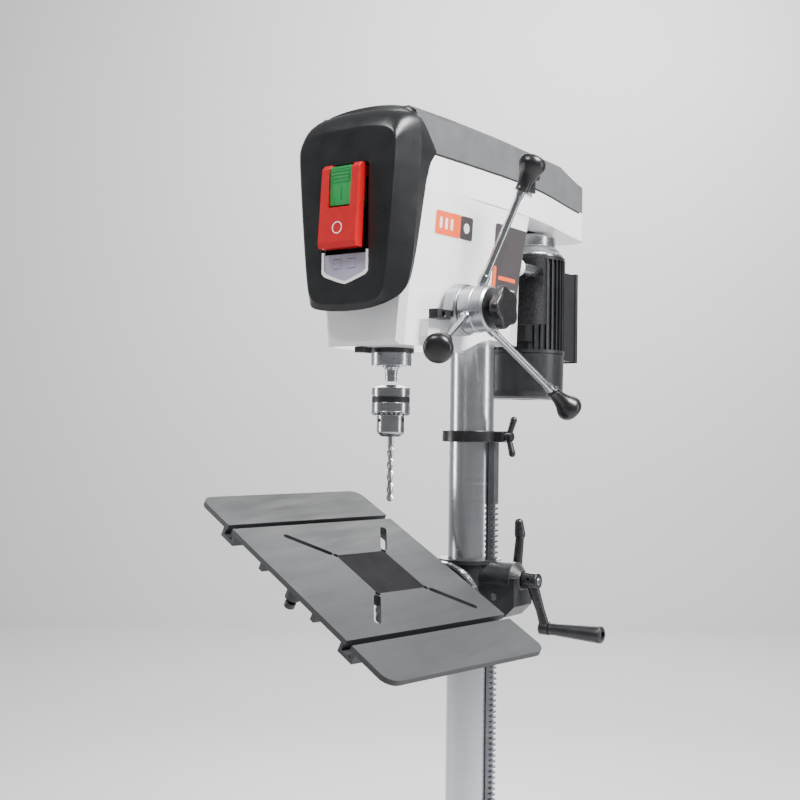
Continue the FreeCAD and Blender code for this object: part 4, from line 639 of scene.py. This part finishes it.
def build_panel():
    count = 240
    face = mirrored_ring(FACE, 1.348, 1.596, count)
    brow = mirrored_ring(BROW, 1.339, 1.629, count)
    rear = mirrored_ring(REAR, 1.340, 1.636, count)
    rings = []
    for grow, y in ((-0.0006, FRONT + 0.012), (-0.0006, FRONT + 0.0008), (0.0, FRONT + 0.0002),
                    (0.0010, FRONT)):
        rings.append([(x, y, z) for x, z in window_ring(grow, count)])
    for mix in (0.25, 0.5, 0.75, 0.90, 0.97):
        rings.append([(wx + (fx - wx) * mix, FRONT, wz + (fz - wz) * mix)
                      for (wx, wz), (fx, fz) in zip(window_ring(0.001, count), face)])
    for t in (0.0, 0.05, 0.2, 0.35, 0.5, 0.65, 0.8, 0.93, 0.985, 1.0):
        ring = []
        for (fx, fz), (bx, bz) in zip(face, brow):
            crown = max(0.0, min(1.0, (fz - 1.545) / 0.045))
            swell = 4 * t * (1 - t) * 0.0062 * crown
            depth = brow_y(bz) - FRONT
            ring.append((fx + (bx - fx) * t, FRONT + 0.0003 + depth * t - swell * 0.7,
                         fz + (bz - fz) * t + swell))
        rings.append(ring)
    last = rings[-1]
    for t in (0.05, 0.12, 0.35, 0.6, 0.85, 0.96, 1.0):
        ring = []
        for (x, y, z), (rx, rz) in zip(last, rear):
            back = max(y + 0.0004, seam_y(rz) - 0.0002)
            ring.append((x + (rx - x) * t, y + (back - y) * t, z + (rz - z) * t))
        rings.append(ring)
    edge = rings[-1]
    for shrink, squash in ((0.95, 0.975), (0.88, 0.94), (0.78, 0.90)):
        ring = []
        for x, _, z in edge:
            inner_z = 1.48 + (z - 1.48) * squash
            ring.append((x * shrink, seam_y(inner_z) - 0.0001, inner_z))
        rings.append(ring)
    verts = [v for ring in rings for v in ring]
    faces = ring_walls(len(rings) - 1, count)
    mesh_object("front_panel", verts, faces, MATS["bezel"], "frame", smooth=math.radians(48),
                replaces=("front_bezel",))


def build_lower_panel():
    outer = v_outline(0.0408, 1.3772, 1.4235)
    inner = v_outline(0.0372, 1.3812, 1.4235)
    plate_band("panel_outline", outer, inner, FRONT - 0.0004, 0.005, MATS["print_white"])
    side, low, high = 0.0374, 1.3955, 1.4195
    front, back = FRONT + 0.0012, FRONT + 0.0040
    hole_xs, hole_z, half = (-0.014, 0.011), 1.406, 0.0071
    panel = []
    xs = sorted({-side, side, *[x + s * half for x in hole_xs for s in (-1, 1)]})
    zs = [low, hole_z - half, hole_z + half, high]
    for x_low, x_high in zip(xs, xs[1:]):
        for z_low, z_high in zip(zs, zs[1:]):
            beside = any(abs((x_low + x_high) / 2 - x) < 0.007 for x in hole_xs)
            if not (beside and abs((z_low + z_high) / 2 - hole_z) < 0.007):
                panel.append(slab(x_low, x_high, z_low, z_high, front, back))
    foot = [(x, min(z, low)) for x, z in v_outline(side, 1.3810, high) if z <= low + 0.003]
    foot = [(-side, low)] + foot + [(side, low)]
    n = len(foot)
    panel.append(([(x, y, z) for y in (front, back) for x, z in foot],
                  [tuple(range(n)), tuple(reversed(range(n, 2 * n)))] +
                  [(k, n + k, n + (k + 1) % n, (k + 1) % n) for k in range(n)]))
    verts, faces = join_parts(panel)
    mesh_object("lower_panel", verts, faces, MATS["lilac"], "frame")


def build_symbols():
    """The ring on the stop paddle, and the bar and square on the start button."""
    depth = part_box("stop_paddle")[0].y
    paddle_foot, slope, centre_z = 1.428, 0.072, 1.454

    def on_paddle(x, z, proud):
        return (x, depth + (z - paddle_foot) * slope - proud, z)

    r_out, r_in, proud, count = 0.0086, 0.0072, 0.0006, 48
    verts = []
    for r, height in ((r_out, -proud), (r_out, proud), (r_in, proud), (r_in, -proud)):
        for k in range(count):
            angle = 2 * math.pi * k / count
            verts.append(on_paddle(r * math.cos(angle), centre_z + r * math.sin(angle), height))
    mesh_object("stop_symbol", verts, ring_walls(3, count), MATS["print_white"], "stop")
    bar = lathe(smooth_profile([(0.0, 0.0), (0.0008, 0.0003), (0.0009, 0.0016), (0.0009, 0.016),
                                (0.0008, 0.0173), (0.0, 0.0176)], 3), (0.0, FRONT - 0.0113, 1.4945),
                (0, 0, 1), 16)
    square = [slab(*sides, FRONT - 0.0117, FRONT - 0.0108) for sides in
              ((-0.0155, 0.0155, 1.5372, 1.5382), (-0.0155, 0.0155, 1.5187, 1.5197),
               (-0.0155, -0.0145, 1.5197, 1.5372), (0.0145, 0.0155, 1.5197, 1.5372))]
    verts, faces = join_parts([bar] + square)
    mesh_object("start_symbol", verts, faces, MATS["green"], "start")


# ---------------------------------------------------------------- panels on the head's sides

def side_surface(label):
    """A ray target made from a CAD node's mesh."""
    item = NODES[label]
    data = item.data
    return BVHTree.FromPolygons([v.co.copy() for v in data.vertices],
                                [tuple(p.vertices) for p in data.polygons])


def round_mask(y, z, y_low, y_high, z_low, z_high, corner):
    """Pull a point of a rectangle inside its rounded corners."""
    inner_y = min(max(y, y_low + corner), y_high - corner)
    inner_z = min(max(z, z_low + corner), z_high - corner)
    gap = math.hypot(y - inner_y, z - inner_z)
    if gap > corner:
        return inner_y + (y - inner_y) * corner / gap, inner_z + (z - inner_z) * corner / gap
    return y, z


def decal(name, surface, side, span, proud, mat, corner, step=0.003):
    """A thin label that follows the head's side."""
    y_low, y_high, z_low, z_high = span
    columns = max(4, int((y_high - y_low) / step))
    rows = max(3, int((z_high - z_low) / step))
    front, back = [], []
    for j in range(rows + 1):
        for i in range(columns + 1):
            y = y_low + (y_high - y_low) * i / columns
            z = z_low + (z_high - z_low) * j / rows
            y, z = round_mask(y, z, y_low, y_high, z_low, z_high, corner)
            hit = surface.ray_cast(Vector((side * 0.3, y, z)), Vector((-side, 0, 0)))[0]
            x = hit.x if hit else side * 0.09
            front.append((x + side * proud, y, z))
            back.append((x - side * 0.0006, y, z))
    verts = front + back
    size = len(front)
    wide = columns + 1
    faces = []
    for j in range(rows):
        for i in range(columns):
            a = j * wide + i
            faces.append((a, a + 1, a + wide + 1, a + wide))
            faces.append((size + a, size + a + wide, size + a + wide + 1, size + a + 1))
    edge = list(range(wide)) + [j * wide + columns for j in range(1, rows + 1)] + \
           [rows * wide + i for i in range(columns - 1, -1, -1)] + [j * wide for j in range(rows - 1, 0, -1)]
    for a, b in zip(edge, edge[1:] + edge[:1]):
        faces.append((a, size + a, size + b, b))
    mesh_object(name, verts, faces, mat, "frame")


def build_labels():
    """Each label: its name, (y from, y to, z from, z to), height, paint and corner radius."""
    surface = side_surface("head_casting")
    bars = [("badge_bar_%d" % (i + 1), (-0.236 + 0.013 * i, -0.236 + 0.013 * i + 0.006, 1.4645, 1.4805),
             0.0009, "print_white", 0.0015) for i in range(3)]
    labels = [
        ("badge_edge", (-0.2470, -0.1510, 1.4540, 1.4910), 0.0003, "print_white", 0.005),
        ("badge_orange", (-0.2455, -0.1850, 1.4555, 1.4895), 0.0006, "print_orange", 0.003),
        ("badge_dark", (-0.1852, -0.1525, 1.4555, 1.4895), 0.0006, "print_dark", 0.003),
        *bars,
        ("badge_dot", (-0.1765, -0.1615, 1.465, 1.480), 0.0009, "print_white", 0.0074),
        ("plate_edge", (-0.0930, 0.0180, 1.3520, 1.4965), 0.0004, "print_white", 0.006),
        ("plate_field", (-0.0895, 0.0110, 1.3560, 1.4930), 0.0007, "print_dark", 0.005),
        ("plate_bar", (-0.0720, -0.0150, 1.4080, 1.4140), 0.0010, "print_orange", 0.0008),
        ("plate_rule", (-0.0720, -0.0150, 1.3930, 1.3960), 0.0010, "print_white", 0.0006),
        ("plate_corner", (-0.0880, -0.0790, 1.3850, 1.4280), 0.0009, "print_orange", 0.003),
    ]
    for name, span, proud, paint, corner in labels:
        decal(name, surface, 1, span, proud, MATS[paint], corner)
    for name, side in (("seam_right", 1), ("seam_left", -1)):
        decal(name, surface, side, (-0.2520, 0.2620, 1.5652, 1.5679), 0.0004, MATS["seam"], 0.0004, 0.004)
    decal("left_plate", surface, -1, (-0.0900, 0.0000, 1.4620, 1.5050), 0.0004, MATS["print_dark"], 0.004)


# ---------------------------------------------------------------- light, floor and camera

CAMERA_YAW = math.radians(35.2)
CAMERA_PITCH = math.radians(1.37)
CAMERA_ROLL = math.radians(0.74)
CAMERA_PLACE = (1.005, -1.629, 1.177)
CAMERA_LENS = 52.6
FLOOR_REACH = 6
BACKDROP_REACH, BACKDROP_HEIGHT = 9, 4.3
BACKDROP_PLACE = (-2.9, 4.1, 0)
PALE = (0.62, 0.62, 0.63)


def build_stage():
    reach = FLOOR_REACH
    verts = [(-reach, -reach, 0), (reach, -reach, 0), (reach, reach, 0), (-reach, reach, 0)]
    data = bpy.data.meshes.new("floor")
    data.from_pydata(verts, [], [(0, 1, 2, 3)])
    floor = bpy.data.objects.new("floor", data)
    SCENE.collection.objects.link(floor)
    data.materials.append(material("floor_pale", PALE, 0.65, vary=0.02, patch=1.5, grain=60, bump=0.02))
    wall_data = bpy.data.meshes.new("backdrop")
    reach = BACKDROP_REACH
    wall_data.from_pydata([(-reach, 0, -0.01), (reach, 0, -0.01), (reach, 0, BACKDROP_HEIGHT),
                           (-reach, 0, BACKDROP_HEIGHT)], [], [(0, 1, 2, 3)])
    wall = bpy.data.objects.new("backdrop", wall_data)
    wall.location = BACKDROP_PLACE
    wall.rotation_euler = (0, 0, CAMERA_YAW)
    SCENE.collection.objects.link(wall)
    wall_data.materials.append(material("backdrop_pale", PALE, 0.8, vary=0.015, patch=0.8, grain=40,
                                        bump=0.02))
    world = bpy.data.worlds.new("studio")
    SCENE.world = world
    world.use_nodes = True
    world.node_tree.nodes["Background"].inputs[0].default_value = (0.80, 0.82, 0.85, 1)
    world.node_tree.nodes["Background"].inputs[1].default_value = 0.30

    def soft(name, place, aim, width, height, power):
        lamp = bpy.data.lights.new(name, "AREA")
        lamp.shape = "RECTANGLE"
        lamp.size, lamp.size_y = width, height
        lamp.energy = power
        item = bpy.data.objects.new(name, lamp)
        item.location = place
        item.rotation_euler = (Vector(aim) - Vector(place)).to_track_quat("-Z", "Y").to_euler()
        SCENE.collection.objects.link(item)

    soft("key_right", (2.0, -0.15, 3.5), (0.05, -0.1, 1.35), 1.3, 1.3, 300)
    soft("edge_right", (2.3, 0.95, 1.35), (0.0, 0.0, 1.1), 0.35, 1.7, 18)
    soft("front_high", (-0.5, -2.2, 3.8), (0.0, -0.2, 1.30), 1.4, 1.0, 95)
    soft("strip_left", (-2.5, -1.35, 1.6), (0.0, -0.1, 1.25), 0.4, 1.7, 30)
    soft("rear", (-1.3, 1.9, 1.8), (0.0, 0.1, 1.2), 0.8, 1.6, 30)
    soft("wall_wash", (-0.6, 2.6, 4.2), (-2.9, 4.1, 1.4), 3.0, 1.0, 260)


def build_camera():
    yaw, pitch, roll = CAMERA_YAW, CAMERA_PITCH, CAMERA_ROLL
    forward = Vector((-math.sin(yaw) * math.cos(pitch), math.cos(yaw) * math.cos(pitch), math.sin(pitch)))
    right = Vector((math.cos(yaw), math.sin(yaw), 0))
    up = right.cross(forward)
    rolled_right = right * math.cos(roll) + up * math.sin(roll)
    rolled_up = rolled_right.cross(forward)
    lens = bpy.data.cameras.new("camera")
    lens.sensor_width = 36
    lens.lens = CAMERA_LENS
    lens.clip_end = 50
    item = bpy.data.objects.new("camera", lens)
    turn = Matrix((rolled_right, rolled_up, -forward)).transposed().to_4x4()
    item.matrix_world = Matrix.Translation(CAMERA_PLACE) @ turn
    SCENE.collection.objects.link(item)
    SCENE.camera = item


build_camera()
build_stage()
finish_nodes()
build_feed()
build_spindle()
build_panel()
build_lower_panel()
build_symbols()
build_labels()
